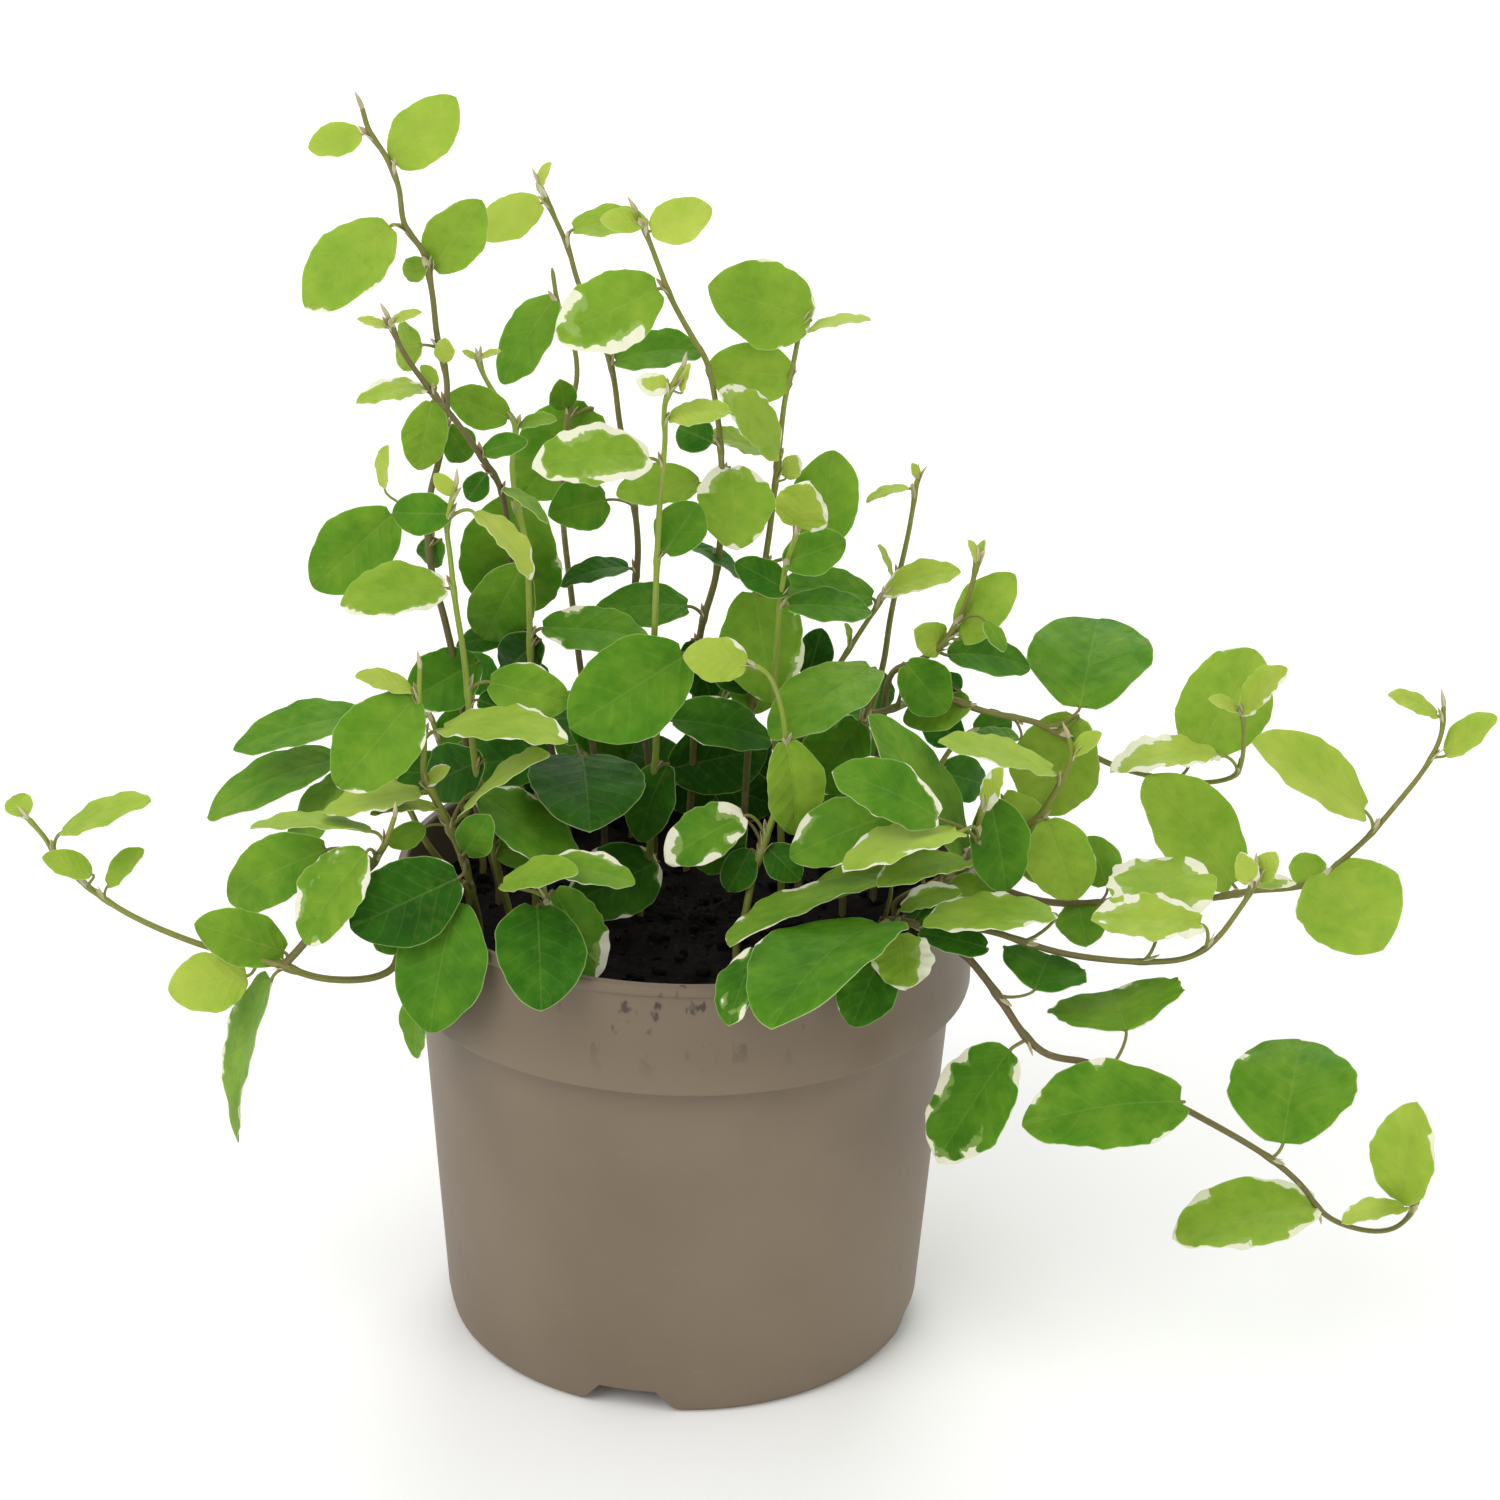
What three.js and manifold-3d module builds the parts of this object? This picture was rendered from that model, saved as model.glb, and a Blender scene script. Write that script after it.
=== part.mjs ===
import * as THREE from 'three';
import { mergeVertices } from 'three/addons/utils/BufferGeometryUtils.js';
import Module from 'manifold-3d';

// A creeping fig with cream-edged leaves, in a round plastic nursery pot.
// Millimetres, +Z up. The origin is the middle of the pot's foot, and -Y is the front.

const wasm = await Module();
wasm.setup();

// Pot
const potHeight = 103.3;
const rimRadius = 60;
const lipRadius = 60.8;
const lipDrop = 2.6;
const bandHeight = 24.5;
const bandStep = 3.6;
const baseRadius = 50.6;
const footRadius = 48.9;
const wall = 1.5;
const floorThickness = 1.6;
const potSides = 32;
const channelCount = 4;
const channelFirstAngle = -13.3;
const channelWidthLow = 21;
const channelWidthHigh = 12;
const channelHeight = 5.6;
const channelStart = 20;
const drainRadius = 4;
const drainCircle = 32;

// Soil
const soilLevel = 89.8;
const seat = 0.3;
const soilLump = 1.1;
const holeDepth = 11;
const holeSpare = 0.6;
const holeSides = 4;

// Stems and leaves
const stemRadius = 0.75;
const stemSides = 3;
const sampleStep = 1.8;
const bendTolerance = 0.75;
const bladeThickness = 0.62;
const stalkRadius = 0.5;
const stalkRoot = 0.25;
const narrowRatio = 0.63;
const roundRatio = 0.76;
const largeLeaf = 30;
const plainLeaf = 15;
const tinyLeaf = 9;
const clearGap = 0.55;
const probeStep = 1.5;

// The layout is read off one view of the plant. A spot is given by how far across and down it
// lies in that view, in steps of a 1500 by 1500 picture, and by its depth in millimetres,
// which grows away from the viewer and is 0 on the pot's axis.
const viewEye = new THREE.Vector3(-7.2, -700, 413.4);
const viewYaw = 1.62;
const viewPitch = 22.13;
const viewRoll = 1.13;
const viewReach = 3646.7;
const viewMiddle = 750;

// Every stem stands at root = [x, y] in the soil and follows route = [across, down, depth].
// A shoot with a parent leaves that stem where its own route begins.
// leaves = [foot across, foot down, tip across, tip down, width seen, lean, roll, age, cream, depth].
// lean moves the tip towards the viewer, in leaf lengths. roll 1 turns the upper face to the sky.
// age runs from 0, lime and young, to 1, dark and old. cream is how much of the edge is cream.
// depth is the foot's own, where it is given. It is the stem's where it isn't.
const stems = [
  {
    name: 'trailing_right_low', root: [42, -24],
    route: [[912, 944, -34], [938, 938, -41], [962, 952, -45], [988, 982, -48], [1006, 1008, -50],
      [1024, 1035, -51], [1048, 1056, -52], [1085, 1062, -52], [1130, 1082, -52], [1183, 1108, -51],
      [1268, 1157, -50], [1300, 1184, -50], [1326, 1216, -49], [1360, 1230, -48], [1392, 1231, -48],
      [1412, 1212, -48], [1424, 1182, -48]],
    leaves: [
      [1010, 1050, 937, 1162, 76, 0.1, 1, 0.68, 0.7], [1181, 1102, 1022, 1126, 90, 0.15, 1, 0.58, 0.45, -57],
      [1283, 1143, 1302, 1040, 116, -0.1, 1, 0.5, 0.35], [1316, 1207, 1172, 1238, 70, 0.1, 1, 0.35, 0.6],
      [1399, 1201, 1417, 1102, 58, 0.1, 1, 0.3, 0.4], [1405, 1208, 1342, 1223, 22, 0.3, 1, 0.1, 0.2],
      [1126, 1030, 1112, 990, 124, -1, 1, 0.6, 0.4], [1035, 989, 1050, 955, 84, -1, 1, 0.75, 0.2],
      [986, 948, 918, 934, 34, 0, 1, 0.85, 0]],
  },
  {
    name: 'trailing_right_middle', root: [38, -18],
    route: [[893, 922, -36], [925, 925, -41], [985, 930, -43], [1030, 944, -43], [1060, 953, -42],
      [1110, 960, -41], [1150, 962, -40], [1190, 958, -39], [1214, 942, -38], [1236, 914, -38],
      [1250, 892, -38], [1257, 866, -38]],
    leaves: [
      [880, 924, 772, 1029, 86, 1.1, 1, 0.76, 0.15, -52], [886, 882, 728, 945, 25, 0.5, 1, 0.5, 0.4],
      [885, 945, 852, 1027, 58, 0.35, 1, 0.85, 0.2, -48], [898, 934, 905, 990, 58, 0.3, 1, 0.45, 0.9, -48],
      [758, 950, 729, 1026, 38, 0.3, 1, 0.75, 0.45, -59], [1053, 913, 923, 926, 38, 0.1, 1, 0.45, 0.7],
      [1201, 924, 1091, 920, 46, 0.1, 1, 0.2, 0.9], [1158, 930, 1166, 857, 102, -1, 1, 0.35, 1],
      [1252, 884, 1240, 852, 22, 0.2, 1, 0.15, 0.9], [1258, 880, 1276, 852, 26, 0.1, 1, 0.15, 0.3],
      [1254, 886, 1296, 883, 15, -0.2, 1, 0.3, 0.5], [914, 925, 938, 911, 14, 0, 1, 0.8, 0],
      [885, 874, 812, 893, 30, 0.2, 1, 0.5, 0.1, -32],
      [950, 915, 903, 914, 22, 0.1, 1, 0.9, 0], [902, 908, 962, 893, 24, 0.1, 1, 0.4, 0.5]],
  },
  {
    name: 'trailing_right_far', root: [47, -6],
    route: [[955, 884, -8], [985, 884, -11], [1012, 893, -13], [1045, 902, -15], [1107, 903, -16],
      [1200, 900, -16], [1250, 891, -16], [1312, 884, -16], [1340, 862, -16], [1367, 838, -16],
      [1400, 800, -16], [1427, 765, -16], [1441, 735, -16], [1444, 702, -16]],
    leaves: [
      [1233, 884, 1146, 776, 78, 0, 1, 0.4, 0.1], [1364, 810, 1252, 742, 54, 0.1, 1, 0.25, 0.15],
      [1437, 715, 1388, 695, 18, 0.1, 1, 0.15, 0], [1446, 755, 1497, 716, 31, 0.1, 1, 0.2, 0],
      [1325, 872, 1383, 950, 96, 0.2, 1, 0.28, 0.15], [1314, 886, 1300, 853, 34, -0.2, 1, 0.4, 0.1],
      [1107, 885, 1088, 836, 42, -0.1, 1, 0.6, 0.3], [1078, 904, 1086, 947, 46, 0.2, 1, 0.55, 0.1]],
  },
  {
    name: 'pale_tip_right', root: [41, -12],
    route: [[905, 925, -24], [930, 894, -28], [945, 880, -30], [960, 864, -31], [975, 850, -32],
      [978, 826, -33], [984, 806, -34]],
    leaves: [
      [985, 808, 1003, 768, 20, 0.2, 1, 0.1, 0.6], [963, 850, 868, 716, 48, -0.15, 1, 0.65, 0],
      [958, 832, 843, 872, 36, 0.45, 1, 0.25, 0.6, -42], [938, 818, 832, 772, 56, 0, 1, 0.7, 0.5],
      [893, 815, 790, 858, 66, 0.1, 1, 0.6, 0.5], [990, 800, 1006, 893, 56, 0.1, 1, 0.75, 0.1],
      [948, 884, 1000, 905, 30, 0.2, 1, 0.5, 0],
      [966, 862, 878, 887, 34, 0.2, 1, 0.4, 0.3], [930, 858, 888, 866, 24, -0.2, 1, 0.9, 0]],
  },
  {
    name: 'bud_shoot_right', root: [44, 0],
    route: [[940, 880, -8], [985, 858, -14], [1015, 836, -18], [1037, 818, -20], [1050, 800, -22],
      [1062, 780, -23], [1072, 757, -24], [1068, 734, -25]],
    leaves: [
      [1052, 771, 938, 742, 27, 0.1, 1, 0.25, 0.3], [1073, 753, 1102, 733, 18, 0.2, 1, 0.15, 0.1],
      [1046, 820, 1076, 900, 62, 0.1, 1, 0.42, 0.2], [1003, 797, 1048, 882, 48, 0, 1, 0.35, 0.3]],
  },
  {
    name: 'trailing_right_high', root: [33, 4],
    route: [[850, 800, 3], [857, 740, 2], [868, 715, 3], [884, 713, 4], [905, 704, 5], [950, 699, 7],
      [975, 709, 9], [1000, 715, 11], [1040, 724, 13], [1105, 762, 16], [1150, 776, 18],
      [1200, 783, 19], [1232, 779, 18], [1241, 764, 16], [1244, 736, 14], [1243, 712, 12]],
    leaves: [
      [1080, 707, 1099, 619, 118, -0.6, 1, 0.66, 0], [1078, 717, 1036, 812, 86, -0.1, 1, 0.42, 0.1],
      [1195, 756, 1256, 650, 88, -0.45, 1, 0.36, 0.2], [1218, 755, 1110, 772, 34, 0.2, 1, 0.2, 0.9],
      [1243, 712, 1288, 668, 30, 0.2, 1, 0.12, 0.7], [1238, 710, 1208, 699, 13, 0.2, 1, 0.15, 0.2],
      [970, 702, 903, 721, 42, -0.1, 1, 0.6, 0], [906, 664, 946, 712, 52, -0.3, 1, 0.65, 0],
      [1018, 739, 966, 738, 16, -0.3, 1, 0.7, 0], [860, 722, 813, 790, 68, -0.2, 1, 0.5, 0.4],
      [872, 668, 772, 740, 62, 0.6, 1, 0.6, 0.1]],
  },
  {
    name: 'pale_pair_right', root: [40, 12],
    route: [[872, 800, 11], [882, 730, 10], [893, 672, 9], [915, 663, 8], [942, 645, 7],
      [962, 612, 6], [971, 588, 5], [978, 558, 5]],
    leaves: [
      [977, 562, 968, 540, 8, 0.1, 1, 0.1, 0.2], [979, 562, 985, 540, 8, 0.1, 1, 0.1, 0.2],
      [961, 638, 1015, 574, 50, 0.1, 1, 0.35, 0.1], [944, 646, 914, 630, 36, 0.1, 1, 0.35, 0.1],
      [986, 622, 1004, 652, 16, -0.2, 1, 0.55, 0], [948, 655, 1030, 668, 40, -0.3, 1, 0.8, 0],
      [960, 690, 944, 674, 20, -0.3, 1, 0.85, 0]],
  },
  {
    name: 'thin_twig_right', root: [33, 22],
    route: [[850, 800, 24], [862, 740, 27], [874, 700, 30], [884, 660, 32], [890, 620, 34],
      [898, 580, 37], [909, 530, 40], [918, 476, 43]],
    leaves: [
      [918, 478, 912, 463, 9, 0.1, 1, 0.1, 0], [909, 488, 866, 502, 10, 0.2, 1, 0.3, 0],
      [893, 577, 878, 545, 6, 0.3, 1, 0.2, 0], [866, 735, 905, 762, 40, -0.3, 1, 0.8, 0]],
  },
  {
    name: 'dark_pair_right', root: [24, 16],
    route: [[800, 800, 16], [812, 740, 17], [827, 684, 19], [842, 660, 21], [868, 620, 24],
      [884, 596, 26]],
    leaves: [
      [885, 593, 961, 572, 30, 0.1, 1, 0.25, 0.2], [872, 598, 772, 590, 44, -0.1, 1, 0.85, 0.1],
      [849, 644, 845, 623, 6, 0.1, 1, 0.4, 0], [808, 676, 822, 628, 36, -0.2, 1, 0.95, 0],
      [812, 748, 862, 800, 56, -0.2, 1, 0.8, 0.1],
      [806, 770, 846, 815, 50, -0.2, 1, 1, 0]],
  },
  {
    name: 'front_arc_shoot', root: [10, -20],
    route: [[745, 915, -24], [752, 880, -24], [765, 840, -24], [782, 790, -23], [786, 745, -22],
      [779, 700, -22], [768, 675, -22], [752, 664, -22]],
    leaves: [
      [747, 663, 683, 655, 46, 0.2, 1, 0.15, 0.5], [786, 742, 795, 835, 54, 0.2, 1, 0.44, 0],
      [744, 816, 665, 862, 54, 0.2, 1, 0.6, 0.75], [750, 850, 728, 892, 34, 0.1, 1, 0.85, 0.1],
      [742, 822, 700, 870, 46, -0.3, 1, 0.85, 0],
      [768, 848, 800, 880, 36, 0, 1, 0.85, 0]],
  },
  {
    name: 'front_upright', root: [-10, 4],
    route: [[650, 850, 2], [648, 815, 0], [655, 765, -3], [656, 715, -6], [653, 670, -9],
      [655, 620, -12], [657, 560, -15], [660, 500, -19], [665, 440, -23], [665, 404, -27],
      [675, 380, -29], [685, 363, -31]],
    leaves: [
      [668, 388, 636, 380, 25, 0.2, 1, 0.1, 0.6], [682, 392, 690, 363, 9, 0.1, 1, 0.1, 0.2],
      [669, 418, 732, 412, 25, 0.2, 1, 0.2, 0.4], [650, 458, 532, 468, 60, 0.3, 1, 0.4, 0.7],
      [665, 552, 698, 503, 50, -0.1, 1, 0.6, 0], [683, 657, 570, 728, 98, 0.3, 1, 0.66, 0.1, -15],
      [672, 720, 772, 740, 50, -0.3, 1, 0.85, 0.2], [658, 862, 568, 905, 74, 0.2, 1, 0.84, 0.4],
      [668, 765, 640, 842, 46, 0.1, 1, 0.85, 0]],
  },
  {
    name: 'cream_leaf_tall', root: [0, 24],
    route: [[692, 780, 22], [695, 700, 19], [701, 630, 14], [716, 575, 9], [722, 500, 5],
      [718, 420, 2], [706, 360, -1], [697, 345, -2], [672, 300, -6], [661, 272, -8], [648, 238, -11],
      [635, 208, -14]],
    leaves: [
      [651, 231, 712, 208, 46, 0.1, 1, 0.15, 0.1], [641, 224, 600, 219, 25, 0.2, 1, 0.15, 0.1],
      [658, 289, 556, 338, 78, 0.2, 1, 0.38, 0.7], [700, 483, 616, 494, 42, 0.1, 1, 0.4, 0.1],
      [730, 468, 738, 550, 74, 0.3, 1, 0.4, 0.7], [690, 546, 748, 583, 14, 0.1, 1, 0.9, 0],
      [687, 606, 590, 618, 46, 0, 1, 0.9, 0.1], [712, 442, 678, 428, 40, -0.3, 1, 0.8, 0.1],
      [672, 768, 768, 748, 74, -0.1, 1, 1, 0.05],
      [692, 640, 712, 700, 44, -0.2, 1, 0.95, 0], [688, 775, 626, 752, 56, -0.2, 1, 1, 0]],
  },
  {
    name: 'round_top', root: [12, 14],
    route: [[745, 800, 11], [752, 700, 10], [760, 600, 10], [771, 520, 10], [779, 450, 11],
      [785, 400, 13], [793, 365, 15], [800, 330, 17], [808, 298, 19]],
    leaves: [
      [808, 331, 871, 320, 11, 0.1, 1, 0.15, 0], [811, 320, 708, 286, 86, 0.1, 1, 0.35, 0.3],
      [792, 376, 705, 370, 64, 0.1, 1, 0.45, 0.1], [779, 453, 720, 390, 40, 0.3, 1, 0.3, 0.5],
      [778, 458, 704, 436, 22, 0.2, 1, 0.4, 0.6], [752, 690, 712, 640, 44, -0.2, 1, 0.95, 0],
      [786, 478, 798, 455, 22, 0.3, 1, 0.1, 0.3], [818, 545, 834, 450, 66, -0.3, 1, 0.6, 0],
      [754, 592, 772, 702, 80, 0.3, 1, 0.5, 0.5], [774, 700, 728, 688, 38, 0.1, 1, 0.6, 0.5]],
  },
  {
    name: 'young_round', root: [20, 6],
    route: [[780, 800, 2], [774, 720, -1], [778, 630, -6], [785, 570, -10], [797, 532, -14]],
    leaves: [
      [797, 527, 810, 483, 54, 0.2, 1, 0.14, 0.5], [785, 563, 846, 540, 46, -0.3, 1, 0.75, 0.1],
      [788, 592, 735, 562, 36, -0.2, 1, 0.85, 0], [790, 606, 872, 612, 34, -0.2, 1, 0.7, 0]],
  },
  {
    name: 'tall_middle', root: [-7, 30],
    route: [[650, 780, 29], [640, 690, 29], [632, 620, 28], [638, 550, 27], [632, 490, 26],
      [620, 425, 25], [612, 370, 25], [595, 322, 25], [578, 282, 26], [568, 248, 27], [554, 216, 28],
      [538, 180, 29]],
    leaves: [
      [540, 187, 551, 162, 10, 0.1, 1, 0.05, 0], [541, 203, 478, 237, 43, 0.1, 1, 0.1, 0.1],
      [574, 229, 650, 222, 31, -0.1, 1, 0.3, 0.1], [616, 362, 705, 352, 39, 0, 1, 0.85, 0.1],
      [629, 568, 560, 586, 23, 0.1, 1, 0.9, 0], [606, 500, 548, 514, 54, 0, 1, 0.85, 0]],
  },
  {
    name: 'slender_back', root: [-18, 36],
    route: [[600, 790, 36], [585, 700, 38], [572, 600, 40], [562, 500, 42], [566, 430, 45],
      [577, 375, 48], [572, 338, 51], [559, 308, 53], [552, 268, 55]],
    leaves: [
      [554, 299, 502, 384, 47, 0.1, 1, 0.62, 0.1], [564, 409, 560, 379, 28, 0.2, 1, 0.6, 0.1],
      [592, 410, 522, 496, 84, -0.1, 1, 0.9, 0], [580, 690, 625, 760, 60, -0.2, 1, 0.85, 0.1]],
  },
  {
    name: 'twin_tip', root: [-32, 2],
    route: [[538, 800, -1], [534, 740, -2], [531, 670, -3], [529, 600, -3], [526, 545, -1],
      [517, 505, 2], [512, 468, 5], [515, 424, 9], [500, 402, 12], [484, 376, 15], [478, 358, 17]],
    leaves: [
      [478, 359, 462, 351, 7, 0.2, 1, 0.1, 0], [480, 358, 501, 351, 7, 0.1, 1, 0.1, 0],
      [519, 426, 557, 420, 14, 0.2, 1, 0.5, 0], [508, 418, 448, 395, 43, 0, 1, 0.5, 0.1],
      [522, 566, 484, 640, 62, -0.5, 1, 0.9, 0.1], [519, 497, 508, 613, 100, -0.3, 1, 0.74, 0.35, 10],
      [540, 640, 505, 672, 50, -0.4, 1, 1, 0], [543, 628, 650, 640, 46, 0, 1, 0.6, 0.4],
      [582, 757, 590, 832, 106, 0.2, 1, 0.92, 0.1]],
  },
  {
    name: 'brown_arch', root: [-24, 14],
    route: [[560, 790, 14], [545, 720, 13], [528, 640, 10], [512, 560, 5], [500, 487, -6],
      [480, 455, -12], [455, 420, -17], [428, 387, -22], [402, 350, -27], [387, 314, -31]],
    leaves: [
      [388, 327, 357, 319, 10, 0.1, 1, 0.1, 0], [391, 323, 422, 312, 10, -0.1, 1, 0.1, 0],
      [426, 389, 356, 403, 22, 0.2, 1, 0.3, 0.5], [436, 386, 421, 365, 15, -0.3, 1, 0.4, 0],
      [503, 489, 548, 524, 12, 0.2, 1, 0.5, 0], [483, 453, 528, 441, 24, -0.1, 1, 0.75, 0],
      [486, 474, 468, 500, 26, -0.2, 1, 0.8, 0], [550, 760, 440, 772, 64, -0.1, 1, 0.85, 0.1],
      [508, 640, 456, 646, 26, -0.1, 1, 0.9, 0]],
  },
  {
    name: 'tall_left', root: [-40, 8],
    route: [[470, 780, 7], [462, 700, 6], [446, 625, 4], [430, 560, 2], [430, 497, 0], [440, 455, -1],
      [447, 385, -4], [437, 335, -7], [432, 292, -10], [423, 252, -13], [405, 226, -16],
      [398, 185, -19], [385, 155, -21], [370, 133, -23], [361, 104, -25]],
    leaves: [
      [362, 134, 308, 148, 34, 0, 1, 0.15, 0.3], [395, 164, 456, 97, 59, 0.1, 1, 0.15, 0.1],
      [390, 226, 305, 308, 68, 0.2, 1, 0.3, 0.2], [433, 268, 482, 200, 58, 0.1, 1, 0.38, 0.15],
      [427, 263, 404, 275, 26, -0.1, 1, 0.45, 0], [421, 345, 396, 349, 50, -1, 1, 0.35, 0],
      [444, 362, 445, 338, 20, 0.2, 1, 0.1, 0.2], [432, 402, 418, 470, 44, -0.1, 1, 0.48, 0.1],
      [447, 427, 468, 460, 36, -0.2, 1, 0.6, 0.1], [384, 488, 388, 445, 13, 0.1, 1, 0.15, 0],
      [392, 515, 313, 588, 72, 0.1, 1, 0.55, 0.1], [441, 540, 425, 562, 30, -0.2, 1, 0.75, 0],
      [478, 662, 408, 702, 62, 0, 1, 0.8, 0.2]],
  },
  {
    name: 'front_left_upright', root: [-37, -8],
    route: [[498, 870, -12], [486, 805, -14], [475, 762, -15], [469, 705, -16], [463, 650, -17],
      [455, 600, -18], [450, 555, -18], [447, 528, -18], [451, 503, -18], [457, 482, -18]],
    leaves: [
      [454, 494, 434, 474, 18, 0.1, 1, 0.1, 0], [474, 512, 531, 580, 24, 0.35, 1, 0.12, 0.25],
      [446, 588, 340, 605, 52, 0.2, 1, 0.45, 0.3], [450, 514, 392, 513, 44, -0.2, 1, 0.7, 0],
      [490, 682, 571, 703, 56, 0.2, 1, 0.6, 0.2], [483, 760, 430, 785, 60, -0.2, 1, 0.85, 0.1],
      [498, 852, 572, 840, 48, 0.1, 1, 0.6, 0.1], [478, 700, 525, 716, 40, -0.3, 1, 0.95, 0]],
  },
  {
    name: 'bud_shoot_left', root: [-43, -14],
    route: [[474, 900, -20], [466, 868, -22], [455, 840, -24], [438, 803, -26], [424, 775, -27],
      [424, 745, -28], [419, 710, -29], [420, 664, -30]],
    leaves: [
      [411, 691, 355, 676, 21, 0.1, 1, 0.1, 0], [414, 698, 338, 788, 78, 0.2, 1, 0.6, 0.25],
      [443, 729, 568, 742, 36, 0.3, 1, 0.25, 0.7], [426, 784, 450, 767, 15, 0.2, 1, 0.15, 0.2],
      [464, 814, 549, 755, 15, 0.4, 1, 0.3, 0], [478, 794, 578, 876, 54, 0.25, 1, 0.6, 0.3],
      [436, 809, 370, 814, 15, 0.3, 1, 0.15, 0], [425, 827, 388, 845, 26, 0, 1, 0.6, 0],
      [466, 852, 490, 815, 38, 0.1, 1, 0.65, 0], [420, 792, 323, 814, 28, 0.1, 1, 0.25, 0.2],
      [456, 902, 430, 1033, 82, 0.35, 1, 0.66, 0.1, -37], [458, 878, 350, 928, 84, 0.1, 1, 0.9, 0.15, -33]],
  },
  {
    name: 'trailing_left', root: [-45, -22],
    route: [[450, 895, -24], [428, 880, -25], [411, 893, -28], [403, 925, -30], [398, 955, -32],
      [391, 972, -33], [370, 979, -34], [318, 978, -36], [283, 966, -36], [245, 957, -34], [190, 941, -32],
      [118, 908, -30], [60, 862, -28], [45, 838, -28], [26, 816, -28]],
    leaves: [
      [26, 816, 13, 796, 28, -0.3, 1, 0.3, 0], [62, 832, 151, 800, 26, 0.1, 1, 0.25, 0],
      [92, 874, 42, 857, 28, -0.1, 1, 0.3, 0], [108, 885, 144, 849, 21, -0.1, 1, 0.4, 0],
      [247, 976, 168, 990, 60, 0.1, 1, 0.12, 0.1], [284, 952, 194, 924, 58, 0, 1, 0.55, 0.1],
      [271, 980, 238, 1142, 26, 0.1, 1, 0.5, 0.3], [425, 985, 416, 1058, 26, 0, 1, 0.6, 0, -40],
      [408, 922, 376, 950, 40, 0.1, 1, 0.75, 0.1, -36]],
  },
  {
    name: 'pink_bud_left', parent: 'trailing_left',
    route: [[283, 966, -36], [300, 948, -36], [335, 905, -35], [368, 870, -34], [383, 848, -35],
      [396, 813, -38]],
    leaves: [
      [366, 852, 305, 944, 58, 0.1, 1, 0.5, 0.5], [326, 850, 228, 898, 66, 0, 1, 0.6, 0.1],
      [372, 831, 250, 828, 16, 0.2, 1, 0.25, 0]],
  },
  {
    name: 'left_middle', root: [-46, 2],
    route: [[428, 845, -1], [405, 800, 1], [385, 765, 3], [370, 732, 4]],
    leaves: [
      [362, 716, 233, 750, 42, 0.1, 1, 0.65, 0.1], [337, 760, 207, 818, 44, 0.1, 1, 0.65, 0],
      [356, 772, 287, 857, 36, 0.2, 1, 0.5, 0.15], [398, 776, 336, 806, 26, 0.3, 1, 0.2, 0.1],
      [388, 800, 348, 796, 26, 0, 1, 0.7, 0.2]],
  },
  {
    name: 'front_low', root: [-26, -30],
    route: [[548, 930, -40], [545, 895, -43], [541, 868, -44]],
    leaves: [
      [537, 908, 541, 1011, 82, 0.85, 1, 0.84, 0.1, -46], [554, 892, 598, 977, 54, 0.25, 1, 0.72, 0.8, -38],
      [548, 864, 635, 884, 34, 0.2, 1, 0.5, 0.35], [503, 884, 578, 872, 30, 0.4, 1, 0.45, 0.1]],
  },
  {
    name: 'back_left', root: [-30, 34],
    route: [[522, 790, 38], [505, 735, 43], [493, 690, 46]],
    leaves: [
      [507, 742, 440, 738, 54, -0.5, 1, 0.9, 0], [494, 700, 548, 668, 50, -0.5, 1, 0.85, 0],
      [512, 765, 545, 800, 54, -0.3, 1, 0.95, 0], [492, 692, 462, 655, 40, -0.4, 1, 0.8, 0.1]],
  },
  {
    name: 'back_middle_left', root: [-12, 43],
    route: [[615, 800, 46], [608, 745, 49], [602, 690, 51]],
    leaves: [
      [610, 762, 664, 788, 58, -0.1, 1, 0.95, 0], [605, 715, 550, 720, 56, -0.4, 1, 0.9, 0],
      [602, 692, 635, 655, 48, -0.3, 1, 0.85, 0], [612, 780, 570, 810, 50, -0.2, 1, 0.95, 0]],
  },
  {
    name: 'back_middle_right', root: [10, 45],
    route: [[715, 800, 48], [718, 745, 51], [724, 690, 53]],
    leaves: [
      [716, 775, 668, 800, 56, -0.2, 1, 0.95, 0], [719, 740, 770, 770, 56, -0.4, 1, 0.95, 0],
      [723, 700, 700, 650, 46, -0.3, 1, 0.85, 0],
      [716, 785, 775, 805, 50, -0.2, 1, 1, 0]],
  },
  {
    name: 'back_right', root: [30, 37],
    route: [[830, 800, 40], [836, 745, 43], [848, 690, 46]],
    leaves: [
      [833, 770, 885, 790, 56, -0.3, 1, 0.9, 0], [841, 720, 790, 705, 50, -0.4, 1, 0.9, 0],
      [848, 692, 895, 690, 44, -0.4, 1, 0.85, 0]],
  },
  {
    name: 'back_far_left', root: [-44, 21],
    route: [[460, 800, 25], [442, 750, 29], [430, 712, 31]],
    leaves: [
      [452, 775, 395, 772, 46, -0.3, 1, 0.85, 0], [437, 735, 480, 720, 40, -0.4, 1, 0.85, 0],
      [430, 714, 398, 700, 36, -0.3, 1, 0.75, 0.1]],
  },
  {
    name: 'back_far_right', root: [44, 22],
    route: [[928, 790, 28], [950, 750, 32], [975, 728, 35]],
    leaves: [
      [938, 772, 985, 785, 46, -0.3, 1, 0.85, 0], [960, 742, 925, 715, 40, -0.4, 1, 0.85, 0],
      [974, 730, 1012, 722, 34, -0.3, 1, 0.75, 0.1]],
  },
  {
    name: 'trailing_back_left', root: [-22, 48],
    route: [[583, 760, 54], [573, 717, 62], [556, 732, 72], [540, 777, 80], [522, 831, 84]],
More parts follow.
